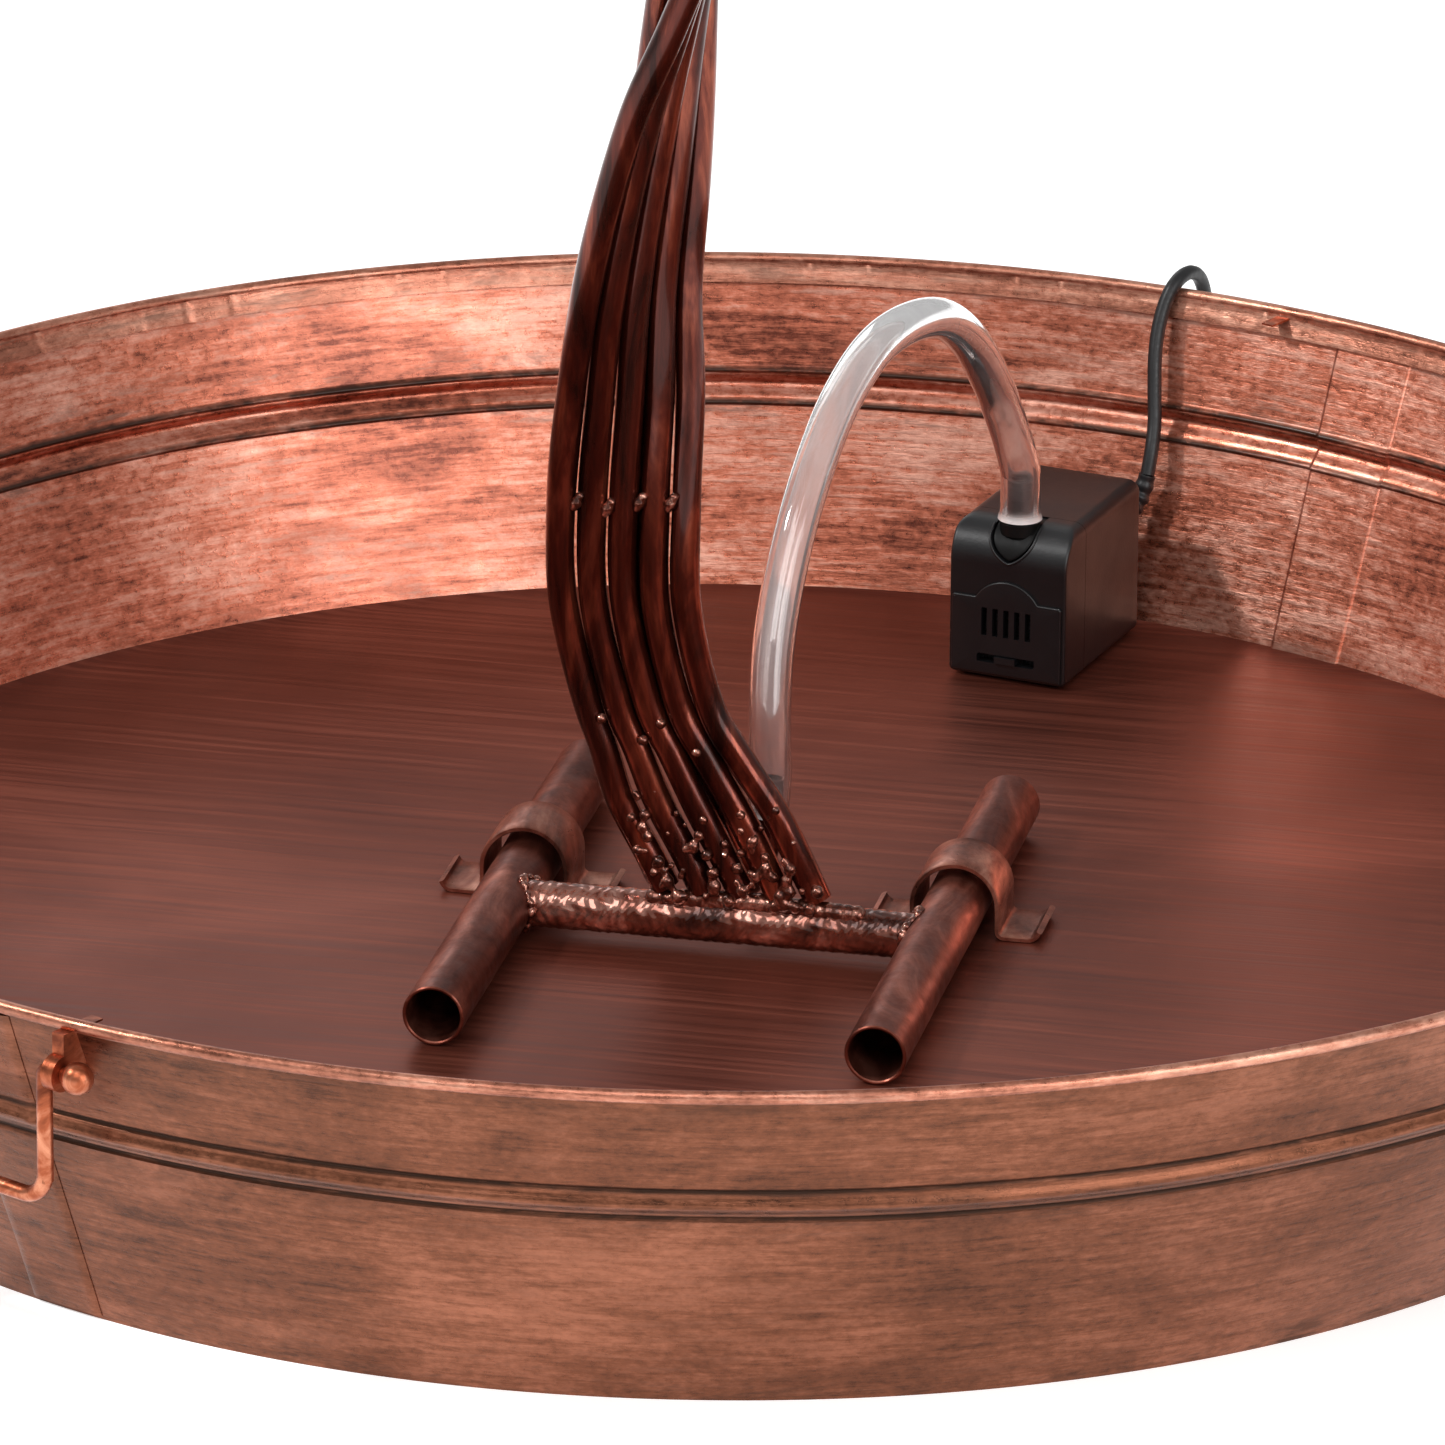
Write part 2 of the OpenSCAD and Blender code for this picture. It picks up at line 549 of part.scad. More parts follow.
impeller_back = magnet_front;
impeller_front = volute_front + volute_t + 0.8;
module impeller() color("#d8d8d4") at_pump() difference() {
    union() {
        along_y(impeller_back - 1.6, impeller_back, 7.4);
        along_y(impeller_front, impeller_back, 2.6);
        for (k = [0 : 5]) translate([0, impeller_front, rotor_z]) rotate([0, 60 * k, 0])
            translate([1.6, 0, -0.5]) cube([6.4, impeller_back - 1.2 - impeller_front, 1]);
    }
    along_y(impeller_front - 1, impeller_back + 1, shaft_d / 2 + shaft_play);
}

module rotor_shaft() color("#efece4") at_pump()
    along_y(volute_front + volute_t - 0.6, magnet_back + 2, shaft_d / 2);

// A rubber bush holds the shaft's back end in the well.
module shaft_bush() color("#2c2c2c") at_pump() difference() {
    along_y(magnet_back + 0.3, magnet_back + 2.2, 2.55);
    along_y(magnet_back, magnet_back + 2, shaft_d / 2);
}

// The impeller's chamber: a shallow cup with a central eye that carries the shaft on three ribs.
module volute() color("#2a2b2e") at_pump() difference() {
    along_y(volute_front, volute_back, volute_r);
    along_y(volute_front + volute_t, volute_back + 1, volute_r - volute_t);
    difference() {
        along_y(volute_front - 1, volute_front + volute_t + 1, 4.6);
        along_y(volute_front - 2, volute_front + volute_t + 2, 1.9);
        for (k = [0 : 2]) translate([0, volute_front, rotor_z]) rotate([0, 120 * k, 0])
            translate([0, -3, -0.6]) cube([6, volute_t + 6, 1.2]);
    }
    along_y(volute_front + volute_t - 0.6, volute_back, shaft_d / 2);
    translate([0, volute_mid, rotor_z]) cylinder(r = 2.4, h = volute_r + 2);
}

// Water turns up from the chamber, runs forward under the case's top and leaves by the ribbed nozzle,
// which stands on a V-shaped seat in the cover's nose.
module outlet_nozzle() color("#101113") at_pump() {
    base_z = rotor_z + volute_r;
    difference() {
        union() {
            intersection() {
                cover_block(0.4, case_front - 0.1);
                translate([0, case_front - 0.1, 0]) rotate([90, 0, 0]) linear_extrude(cover_l) vee(0.3);
            }
            translate([0, nozzle_y, pump_top - 3]) cylinder(r = nozzle_d / 2 + 1.5, h = 3.6);
            translate([0, nozzle_y, pump_top - 3]) cylinder(d = nozzle_d - 0.6, h = nozzle_top - pump_top + 3);
            for (z = [nozzle_top - 8.4, nozzle_top - 5.2, nozzle_top - 2])
                translate([0, nozzle_y, z]) cylinder(d1 = nozzle_d, d2 = nozzle_d - 0.6, h = 2);
            translate([-3.5, case_front - 1, pump_top - 7]) cube([7, volute_mid + 4.5 - case_front, 4.4]);
            translate([0, volute_mid, base_z + 0.1]) cylinder(d = 7, h = pump_top - 3 - base_z - 0.1);
        }
        translate([0, nozzle_y, pump_top - 5.6]) cylinder(d = nozzle_d - 3, h = nozzle_top);
        translate([0, volute_mid, base_z - 1]) cylinder(d = 4.8, h = pump_top - 3 - base_z);
        translate([-2.4, nozzle_y, pump_top - 5.6]) cube([4.8, volute_mid - nozzle_y, 2]);
        along_y(volute_front - 1, volute_back + 1, volute_r);
    }
}

// The front cover pulls off forwards; the slots in its raised panel are the water inlet.
slot_gap = 3.2;
module pump_cover() color(PUMP_BLACK) at_pump() difference() {
    union() {
        cover_block(0, case_front);
        translate([0, pump_front, 0]) rotate([90, 0, 0]) linear_extrude(panel_t) {
            translate([0.8 - pump_w / 2, foot_h + 0.8]) square([pump_w - 1.6, 22]);
            translate([0, foot_h + 17.5]) circle(r = 10.5);
        }
    }
    cover_block(case_t, case_front + 1);
    translate([0, case_front + 1, 0]) rotate([90, 0, 0]) linear_extrude(cover_l + 2) vee(0);
    for (k = [-2 : 2]) translate([k * slot_gap - 0.8, pump_front - panel_t - 1, foot_h + 12])
        cube([1.6, case_t + panel_t + 2, 8]);
    // Window that the flow gate's tab moves in.
    translate([-8.4, pump_front - panel_t - 1, gate_z - 1.2]) cube([16.8, case_t + panel_t + 2, 2.4]);
}

module inlet_foam() color("#3a3c40") at_pump()
    translate([case_t + 1 - pump_w / 2, pump_front + case_t + 2.4, foot_h + case_t + 1])
        cube([pump_w - 2 * case_t - 2, cover_l - case_t - 3.2, pump_h - 2 * case_t - 9]);

// The gate slides across the slots to throttle the pump.
module flow_gate() color("#0c0c0d") at_pump() {
    translate([-4, pump_front + case_t + 0.3, gate_z - 3]) cube([8, 1.4, 13]);
    translate([-3, pump_front - panel_t - 0.8, gate_z - 0.9]) cube([6, case_t + panel_t + 1.3, 1.8]);
}

module pump_feet() color("#1f2022") at_pump()
    for (x = [-1, 1]) for (y = [-1, 1]) translate([x * (pump_w / 2 - 6), y * (pump_l / 2 - 8), 0])
        cylinder(r1 = 4.4, r2 = 3.8, h = foot_h);

// --- Cord, plug and hose ----------------------------------------------
// The strain relief leaves the case's back face and bends up, thinner towards its end.
module strain_relief() color("#131314")
    for (k = [0 : len(gland_route) - 2])
        swept_bar([gland_route[k], gland_route[k + 1]], cord_d + 2.4 - 0.5 * k, 12, [0, 0, 1]);

module power_cord() color("#0f0f10") {
    swept_bar(smooth(cord_route, 2), cord_d, 8);
    swept_bar(smooth(lead_route, 2), cord_d, 8, [0, 0, 1]);
}

module cord_coil() color("#0f0f10")
    translate([coil_x, coil_y, coil_z]) rotate_extrude()
        translate([coil_inner, 0]) square([coil_w, coil_h]);

module cord_tie() color("#1d1d1f")
    translate([coil_x, coil_y, 0]) difference() {
        translate([-3, coil_inner - 1.4, 0]) cube([6, coil_w + 2.6, coil_h + 2]);
        translate([-4, coil_inner - 0.4, 1]) cube([8, coil_w + 0.6, coil_h]);
    }

module plug_body() color("#141415")
    translate([plug_x - plug_l, plug_y - plug_w / 2, 0]) difference() {
        cube([plug_l, plug_w, plug_h]);
        for (y = [-1, 1]) translate([plug_l - 7, plug_w / 2 + y * (plug_w / 2 + 6), -1]) cylinder(r = 8, h = plug_h + 2);
    }

module plug_pins() color("#c9a860")
    for (y = [-1, 1]) translate([plug_x - plug_l - 17, plug_y + y * 6.35 - 0.75, plug_h / 2 - 3.2]) cube([17, 1.5, 6.4]);

module water_hose() color([0.86, 0.85, 0.86, 0.5]) swept_tube(smooth(hose_route, 2), hose_d, hose_bore, 16);

left_sheet();
right_sheet();
tub_floor();
left_rim();
right_rim();
left_hem();
right_hem();
side_seams();
handle_lugs();
left_strap();
right_strap();
front_bail();
rear_bail();
left_runner();
right_runner();
cross_tube();
runner_welds();
trunk_rod_1();
trunk_rod_2();
trunk_rod_3();
trunk_rod_4();
trunk_rod_5();
riser_tube();
base_weld();
bundle_welds();
leaf_cup_1();
leaf_cup_2();
leaf_cup_3();
leaf_cup_4();
leaf_cup_5();
top_leaf_cup();
leaf_welds();
pump_case();
motor_core();
rotor_magnet();
impeller();
rotor_shaft();
shaft_bush();
volute();
outlet_nozzle();
pump_cover();
inlet_foam();
flow_gate();
pump_feet();
strain_relief();
power_cord();
cord_coil();
cord_tie();
plug_body();
plug_pins();
water_hose();
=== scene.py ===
import json
import math
import bmesh
import bpy
import numpy as np
from mathutils import Matrix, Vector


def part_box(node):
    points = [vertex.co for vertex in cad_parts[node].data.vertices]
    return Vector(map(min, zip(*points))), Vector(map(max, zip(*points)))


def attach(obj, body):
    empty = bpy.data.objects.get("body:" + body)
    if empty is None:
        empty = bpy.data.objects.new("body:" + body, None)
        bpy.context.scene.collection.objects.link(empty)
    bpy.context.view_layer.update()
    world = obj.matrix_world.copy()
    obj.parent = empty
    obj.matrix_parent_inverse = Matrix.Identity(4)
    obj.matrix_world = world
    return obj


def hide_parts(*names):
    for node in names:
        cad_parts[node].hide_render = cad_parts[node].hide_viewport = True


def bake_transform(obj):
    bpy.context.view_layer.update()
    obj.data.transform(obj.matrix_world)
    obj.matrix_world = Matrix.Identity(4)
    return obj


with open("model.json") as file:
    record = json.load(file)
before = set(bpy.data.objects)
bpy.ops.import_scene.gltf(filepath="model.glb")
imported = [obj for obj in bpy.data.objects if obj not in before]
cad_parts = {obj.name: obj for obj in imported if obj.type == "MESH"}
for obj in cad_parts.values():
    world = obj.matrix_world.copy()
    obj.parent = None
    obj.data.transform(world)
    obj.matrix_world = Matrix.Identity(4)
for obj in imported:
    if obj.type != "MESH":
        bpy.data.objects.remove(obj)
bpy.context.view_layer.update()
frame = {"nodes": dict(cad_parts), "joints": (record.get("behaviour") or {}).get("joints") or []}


# ---------------------------------------------------------------------------
# Camera and studio: a long lens looks down into the tub, from a little right of
# the stand's front. A small key from the left front throws the shadows to the
# right; three white cards and a pale table give the metal something to reflect.
def put(name, data):
    """Makes an object of the data and adds it to the scene."""
    made = bpy.data.objects.new(name, data)
    bpy.context.scene.collection.objects.link(made)
    return made


def matrix_of(x_axis, y_axis, z_axis, place):
    """The matrix whose columns are three axes and a place."""
    return Matrix([[x_axis[k], y_axis[k], z_axis[k], place[k]] for k in range(3)] + [[0, 0, 0, 1]])


def aim_camera(name, back, height, azimuth, pitch, roll, lens):
    """A camera at ground distance back and a height, turned by azimuth, tipped by pitch, rolled."""
    a, p, r = (math.radians(x) for x in (azimuth, pitch, roll))
    ahead = np.array([-math.sin(a) * math.cos(p), math.cos(a) * math.cos(p), -math.sin(p)])
    right = np.array([math.cos(a), math.sin(a), 0.0])
    up = np.cross(right, ahead)
    across = math.cos(r) * right + math.sin(r) * up
    upward = math.cos(r) * up - math.sin(r) * right
    data = bpy.data.cameras.new(name)
    data.lens = lens
    data.sensor_width = 36.0
    camera = put(name, data)
    place = [back * math.sin(a), -back * math.cos(a), height]
    camera.matrix_world = matrix_of(across, upward, -ahead, place)
    bpy.context.scene.camera = camera


def soft_box(name, place, target, size, watts):
    """A square area light at place, facing target."""
    data = bpy.data.lights.new(name, "AREA")
    data.size = size
    data.energy = watts
    light = put(name, data)
    back = np.array(place, float) - np.array(target, float)
    back = back / np.linalg.norm(back)
    side = np.cross([0, 0, 1], back)
    side = side / np.linalg.norm(side)
    up = np.cross(back, side)
    light.matrix_world = matrix_of(side, up, back, place)


aim_camera("camera", back=3.1653, height=1.2807, azimuth=11.86, pitch=20.908, roll=0.528, lens=329.8)
soft_box("key", (-2.0, -0.9, 2.3), (0.1, 0.1, 0), 0.26, 42)
soft_box("front_card", (2.0, -1.72, 1.1), (0, 0, 0.05), 1.6, 30)
soft_box("rear_card", (-1.4, 2.2, 1.5), (0, 0, 0.05), 1.4, 9)
soft_box("top_card", (0.1, -1.9, 2.1), (0, 0.1, 0.05), 1.4, 20)
world = bpy.data.worlds.new("studio")
world.use_nodes = True
world.node_tree.nodes["Background"].inputs["Color"].default_value = (1, 1, 1, 1)
world.node_tree.nodes["Background"].inputs["Strength"].default_value = 0.45
bpy.context.scene.world = world
bpy.context.scene.view_settings.view_transform = "Standard"


# ---------------------------------------------------------------------------
# Mains lead: one black PVC-sheathed flex, about 1.48 m long. It leaves the pump
# through a moulded relief, climbs the wall, hooks over the rim and is wound up
# behind the tub, held by a band, with its plug beside the coil.
def smooth_curve(points, steps):
    """Catmull-Rom curve through the points: b + u/2 ((c-a) + u ((2a-5b+4c-d) + u (3(b-c)+d-a)))."""
    p = np.asarray(points, float)
    a = np.vstack([p[:1], p[:-2]])[:, None]
    b, c = p[:-1, None], p[1:, None]
    d = np.vstack([p[2:], p[-1:]])[:, None]
    u = (np.arange(steps) / steps)[None, :, None]
    curve = b + 0.5 * u * ((c - a) + u * ((2 * a - 5 * b + 4 * c - d) + u * (3 * (b - c) + d - a)))
    return np.vstack([curve.reshape(-1, 3), p[-1:]])


def full_turn(count):
    """Angles of count even steps round a circle."""
    return np.linspace(0, 2 * np.pi, count, endpoint=False)


def walked(line):
    """Distance along a line of points, from 0 at its first."""
    return np.concatenate([[0], np.cumsum(np.linalg.norm(np.diff(line, axis=0), axis=1))])


def tube_rows(path, radius, sides):
    """Circles square to a path: centre + r (cos t side + sin t up), turned as little as possible."""
    path = np.asarray(path, float)
    ahead = np.gradient(path, axis=0)
    ahead /= np.linalg.norm(ahead, axis=1)[:, None]
    side = np.cross(ahead[0], [0.37, 0.11, 0.92])
    sides_list = []
    for way in ahead:
        side = side - (side @ way) * way
        side = side / np.linalg.norm(side)
        sides_list.append(side)
    side = np.array(sides_list)
    up = np.cross(ahead, side)
    turn = full_turn(sides)
    r = np.broadcast_to(radius, (len(path),))[:, None, None]
    return path[:, None] + r * (np.cos(turn)[None, :, None] * side[:, None]
                                + np.sin(turn)[None, :, None] * up[:, None])


def grid_piece(name, rows, around=True, along=False, caps=False, flip=False, crease=40, weld=False):
    """A mesh object from a grid of points (rows, columns, 3) joined into quads, with optional end caps."""
    rows = np.asarray(rows, float)
    n, m = rows.shape[:2]
    i = np.arange(n if along else n - 1)[:, None]
    j = np.arange(m if around else m - 1)[None, :]
    i2, j2 = (i + 1) % n, (j + 1) % m
    quads = np.stack(np.broadcast_arrays(i * m + j, i * m + j2, i2 * m + j2, i2 * m + j), -1).reshape(-1, 4)
    if not flip:
        quads = quads[:, ::-1]
    faces = quads.tolist()
    if caps:
        first, last = list(range(m)), list(range((n - 1) * m, n * m))
        faces += [first[::-1], last] if flip else [first, last[::-1]]
    mesh = bpy.data.meshes.new(name)
    mesh.from_pydata(rows.reshape(-1, 3).tolist(), [], faces)
    if weld:
        shell = bmesh.new()
        shell.from_mesh(mesh)
        bmesh.ops.remove_doubles(shell, verts=shell.verts, dist=1e-6)
        shell.to_mesh(mesh)
        shell.free()
    mesh.shade_smooth()
    mesh.set_sharp_from_angle(angle=math.radians(crease))
    return put(name, mesh)


def plain_material(name, colour, roughness, metallic=0.0, **sockets):
    """A Principled material with its uniform values on the shader's own sockets."""
    mat = bpy.data.materials.new(name)
    mat.use_nodes = True
    shader = mat.node_tree.nodes["Principled BSDF"]
    shader.inputs["Base Color"].default_value = (*colour, 1)
    shader.inputs["Roughness"].default_value = roughness
    shader.inputs["Metallic"].default_value = metallic
    for socket, value in sockets.items():
        shader.inputs[socket.replace("_", " ")].default_value = value
    return mat


def node(mat, kind, settings=None, **inputs):
    """Adds a node; an input given as another node's socket is linked, anything else is set."""
    made = mat.node_tree.nodes.new(kind)
    for key, value in (settings or {}).items():
        setattr(made, key, value)
    for key, value in inputs.items():
        by_number = key[0] == "i" and key[1:].isdigit()
        socket = made.inputs[int(key[1:]) if by_number else key.replace("_", " ")]
        if isinstance(value, bpy.types.NodeSocket):
            mat.node_tree.links.new(value, socket)
        else:
            socket.default_value = value
    return made


def noise(mat, stretch, detail=4.0, roughness=0.55, distortion=0.0, turn=0.0):
    """Noise on Object coordinates in metres, stretched per axis and turned about Z."""
    place = node(mat, "ShaderNodeTexCoord").outputs["Object"]
    fitted = node(mat, "ShaderNodeMapping", Vector=place, Rotation=(0, 0, math.radians(turn)),
                  Scale=stretch)
    return node(mat, "ShaderNodeTexNoise", Vector=fitted.outputs[0], Scale=1.0, Detail=detail,
                Roughness=roughness,
                Distortion=distortion).outputs["Fac"]


def ramp(mat, factor, stops):
    """A colour ramp of (position, value or colour) stops."""
    made = node(mat, "ShaderNodeValToRGB", Fac=factor)
    band = made.color_ramp
    while len(band.elements) < len(stops):
        band.elements.new(0.5)
    for element, (place, value) in zip(band.elements, stops):
        element.position = place
        element.color = (value, value, value, 1) if np.isscalar(value) else (*value, 1)
    return made.outputs["Color"]


def maths(mat, operation, *values, clamp=False):
    """A Math node's result."""
    slots = {f"i{k}": value for k, value in enumerate(values)}
    return node(mat, "ShaderNodeMath", {"operation": operation, "use_clamp": clamp}, **slots).outputs[0]


def mixed(mat, factor, a, b):
    """A number mixed from a to b."""
    return node(mat, "ShaderNodeMix", {"data_type": "FLOAT"}, i0=factor, i2=a, i3=b).outputs[0]


def ranged(mat, value, from_min, from_max, to_min=0.0, to_max=1.0):
    """A value mapped from one range to another."""
    return node(mat, "ShaderNodeMapRange", Value=value, From_Min=from_min, From_Max=from_max, To_Min=to_min,
                To_Max=to_max).outputs[0]


def link(mat, output, socket):
    mat.node_tree.links.new(output, mat.node_tree.nodes["Principled BSDF"].inputs[socket])


def relief(mat, height, strength, distance=0.0005):
    """Feeds a height into the shader's normal through a Bump node."""
    bump = node(mat, "ShaderNodeBump", Strength=strength, Distance=distance, Height=height)
    link(mat, bump.outputs["Normal"], "Normal")


def dress(piece, mat, body, slot, *nodes):
    """Gives a new piece its material and the body it rides on, and hides the CAD nodes it stands for; slot
    is not used.
    """
    piece.data.materials.append(mat)
    if body:
        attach(piece, body)
    if nodes:
        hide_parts(*nodes)
    return piece


MM = 0.001
cord_d = 4 * MM
cord_route = MM * np.array([
    [61.6, 270.8, 49], [62.2, 273.4, 55.5], [62.2, 277, 62], [61.3, 281, 70.5], [60.7, 284, 77.5],
    [60.7, 287.2, 84], [61.6, 290.4, 90.4], [63.3, 293.2, 95.4], [65.4, 296.9, 98], [67.4, 301.8, 97.8],
    [69, 306.5, 94.4], [70, 309.8, 87.5], [70.6, 311.8, 77], [70.8, 312.6, 63], [70.6, 312.8, 46],
    [70.4, 312.4, 30], [69.6, 311.4, 18], [66.6, 309.4, 9], [60, 306.6, 3.8],
    [49, 304.6, 2.4], [36, 304, 2.4], [22, 304, 2.8], [11.5, 304, 3.2]])
lead_route = MM * np.array([
    [-11.5, 304, 14.2], [-20, 304, 12.4], [-29, 304, 9.6], [-36, 304, 8.3], [-42, 304, 8]])
coil_centre = MM * np.array([0, 330, 3])
coil_outer = 26 * MM
coil_turns = 8


def coil_path(per_turn=48):
    """Turns clockwise from the near side: the radius swaps each turn, the height grows each second one."""
    t = np.arange(1, coil_turns * per_turn) / per_turn
    turn, share = np.floor(t), t - np.floor(t)
    ease = np.clip((share - 0.84) / 0.14, 0, 1)
    ease = ease * ease * (3 - 2 * ease)
    ring = np.array([0, 1, 1, 0])[turn.astype(int) % 4]
    next_ring = np.array([1, 1, 0, 0])[turn.astype(int) % 4]
    layer = turn // 2
    climbs = (turn % 2 == 1) & (turn < coil_turns - 1)
    r = coil_outer - cord_d * (ring + (next_ring - ring) * ease)
    z = coil_centre[2] + cord_d * (layer + climbs * ease)
    angle = -np.pi / 2 - 2 * np.pi * t
    return np.stack([coil_centre[0] + r * np.cos(angle), coil_centre[1] + r * np.sin(angle), z], -1)


cord_line = np.vstack([smooth_curve(cord_route, 6), coil_path(), smooth_curve(lead_route, 6)])

pvc_black = plain_material("pvc_black", (0.012, 0.012, 0.013), 0.38, Specular_IOR_Level=0.45)
sheath_grain = noise(pvc_black, (900, 900, 900), 3)
link(pvc_black, ramp(pvc_black, sheath_grain, [(0.3, 0.32), (0.7, 0.5)]), "Roughness")
relief(pvc_black, sheath_grain, 0.15, 0.0002)

power_lead = grid_piece("power_lead", tube_rows(cord_line, cord_d / 2, 12), caps=True)
dress(power_lead, pvc_black, "tub", "cord_black", "power_cord", "cord_coil")

gland_line = smooth_curve(MM * np.array([
    [53.4, 256.3, 37], [54.9, 262.2, 37.4], [57.7, 266.9, 39.6], [60.2, 269.5, 43.6], [61.6, 270.8, 49]]),
    14)
gland_share = np.linspace(0, 1, len(gland_line))
gland_ribs = 0.28 * MM * np.cos(2 * np.pi * 7 * gland_share) * np.clip(6 * gland_share * (1 - gland_share),
                                                                       0, 1)
relief_boot = grid_piece("relief_boot",
                         tube_rows(gland_line, (3.1 - 0.75 * gland_share) * MM + gland_ribs, 24), caps=True)
dress(relief_boot, pvc_black, "tub", "cord_black", "strain_relief")


def rounded_box_rows(start, stop, half_y, half_z, centre, lean=0.0, power=5.0, columns=48, rows=40):
    """Superellipse sections |y|^p + |z|^p = 1 along X, pulled in at both ends by a quarter-round."""
    s = np.linspace(0, 1, rows)
    inset = 1 - 0.22 * (1 - np.clip(np.minimum(s, 1 - s) / 0.12, 0, 1)) ** 2
    grip = 1 - lean * np.exp(-((s - 0.62) / 0.2) ** 2)
    turn = full_turn(columns)
    c, q = np.cos(turn), np.sin(turn)
    radius = (np.abs(c) ** power + np.abs(q) ** power) ** (-1 / power)
    x = np.broadcast_to((start + (stop - start) * s)[:, None], (rows, columns))
    y = centre[0] + half_y * (inset * grip)[:, None] * (radius * c)[None]
    z = centre[1] + half_z * inset[:, None] * (radius * q)[None]
    return np.stack([x, y, z], -1)


plug_lo, plug_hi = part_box("plug_body")
plug_mid = [(plug_lo[k] + plug_hi[k]) / 2 for k in range(3)]
plug_grip = grid_piece("plug_grip", rounded_box_rows(
    plug_lo[0], plug_hi[0], (plug_hi[1] - plug_lo[1]) / 2, (plug_hi[2] - plug_lo[2]) / 2, plug_mid[1:],
    lean=0.2), caps=True)
plug_pvc = plain_material("plug_pvc", (0.016, 0.016, 0.017), 0.5)
relief(plug_pvc, noise(plug_pvc, (700, 700, 700), 2), 0.2, 0.0002)
dress(plug_grip, plug_pvc, "tub", "plug_black", "plug_body")

pin_metal = plain_material("pin_metal", (0.72, 0.52, 0.24), 0.3, 1.0)
link(pin_metal, ramp(pin_metal, noise(pin_metal, (120, 1500, 1500), 3), [(0.3, 0.22), (0.7, 0.42)]),
     "Roughness")


def wear(name, mat):
    """Gives a CAD node that stays a better material."""
    piece = frame["nodes"][name]
    piece.data.materials.clear()
    piece.data.materials.append(mat)


wear("plug_pins", pin_metal)


def band_rows(centre, half_y, half_z, width, thickness, columns=64):
    """A flat band round a rounded rectangle: the loop in YZ, each point a small rectangle across X."""
    turn = full_turn(columns)
    radius = (np.abs(np.cos(turn)) ** 6 + np.abs(np.sin(turn)) ** 6) ** (-1 / 6)
    corners = [(-1, 0), (-1, 1), (1, 1), (1, 0)]
    loops = [np.stack([np.full(columns, centre[0] + sx * width / 2),
                       centre[1] + (half_y + out * thickness) * radius * np.cos(turn),
                       centre[2] + (half_z + out * thickness) * radius * np.sin(turn)], -1) for sx,
                       out in corners]
    return np.stack(loops, 0).transpose(1, 0, 2)


tie_lo, tie_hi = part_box("cord_tie")
tie_mid = [(tie_lo[k] + tie_hi[k]) / 2 for k in range(3)]
coil_band = grid_piece("coil_band", band_rows(
    tie_mid, (tie_hi[1] - tie_lo[1]) / 2 - 1 * MM, (tie_hi[2] - tie_lo[2]) / 2 - 1 * MM, 6 * MM, 1 * MM),
    along=True)
dress(coil_band, plug_pvc, "tub", "plug_black", "cord_tie")


# ---------------------------------------------------------------------------
# Water hose: clear PVC tube, 11 mm outside and 8.4 mm bore, pushed on the pump's
# ribbed nozzle and on the riser's upturned end behind the trunk. It keeps the
# arch that it was wound to.
hose_r = 5.5 * MM
hose_bore_r = 4.2 * MM
spin = next(j for j in frame["joints"] if j["name"] == "rotor_spin")
pump_turn = math.atan2(spin["axis"][1], spin["axis"][0]) + math.pi / 2
pump_at = np.array([spin["pos_m"][0], spin["pos_m"][1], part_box("tub_floor")[1][2]])
nozzle_y = -18.5 * MM
nozzle_at = pump_at[:2] + nozzle_y * np.array([-math.sin(pump_turn), math.cos(pump_turn)])
riser_end = MM * np.array([[7.2, 26.5, 47], [6.8, 25.2, 37]])
hose_arch = [
    (1, 54, 0), (1, 65.5, 0), (0.996, 69.5, -0.2), (0.975, 79, -1.1), (0.94, 89.5, -1.7),
    (0.9, 99, -1.7), (0.789, 118, -0.9), (0.655, 132.4, 0), (0.52, 139, -0.3),
    (0.401, 139.2, -1.1), (0.296, 132.6, -1.9), (0.219, 122.4, -2.5), (0.149, 108.6, -3),
    (0.098, 95, -3.1), (0.056, 81, -2.6), (0.028, 68.5, -1.5), (0.0137, 57, -0.5)]
hose_route = np.array([[*(riser_end[1, :2] + share * (nozzle_at - riser_end[1, :2]) + [bow * MM, 0]),
                        z * MM]
                       for share, z, bow in hose_arch]
                      + riser_end.tolist())
hose_line = smooth_curve(hose_route, 8)
hose_walk = walked(hose_line)
hose_flare = 0.6 * MM * np.exp(-(hose_walk / (1.6 * MM)) ** 2)
hose_rows = np.concatenate([tube_rows(hose_line, hose_r + hose_flare, 32),
                            tube_rows(hose_line, hose_bore_r, 32)[::-1]])
clear_hose = grid_piece("clear_hose", hose_rows, along=True)
frost = clear_hose.data.attributes.new("frost", "FLOAT", "POINT")
frosted = 0.16 * np.sin(np.pi * hose_walk / hose_walk[-1]) ** 2
frosted = frosted + np.exp(-(hose_walk / (1.3 * MM)) ** 2) + 0.6 * np.exp(-((hose_walk[-1]
        - hose_walk) / (1.3 * MM)) ** 2)
frost.data.foreach_set("value", np.repeat(np.concatenate([frosted, frosted[::-1]]), 32))
clear_pvc = plain_material("clear_pvc", (0.97, 0.93, 0.92), 0.1, IOR=1.13, Specular_IOR_Level=0.9,
                           Coat_Weight=1.0, Coat_Roughness=0.03, Coat_IOR=1.6)
cut_end = node(clear_pvc, "ShaderNodeAttribute", {"attribute_name": "frost"}).outputs["Fac"]
haze = noise(clear_pvc, (90, 90, 30), 4, 0.6)
clearness = ramp(clear_pvc, haze, [(0.3, 0.93), (0.7, 1.0)])
link(clear_pvc, maths(clear_pvc, "MULTIPLY_ADD", cut_end, -0.85, clearness, clamp=True),
     "Transmission Weight")
link(clear_pvc, ramp(clear_pvc, haze, [(0.35, 0.08), (0.75, 0.2)]), "Roughness")
relief(clear_pvc, haze, 0.12, 0.0004)
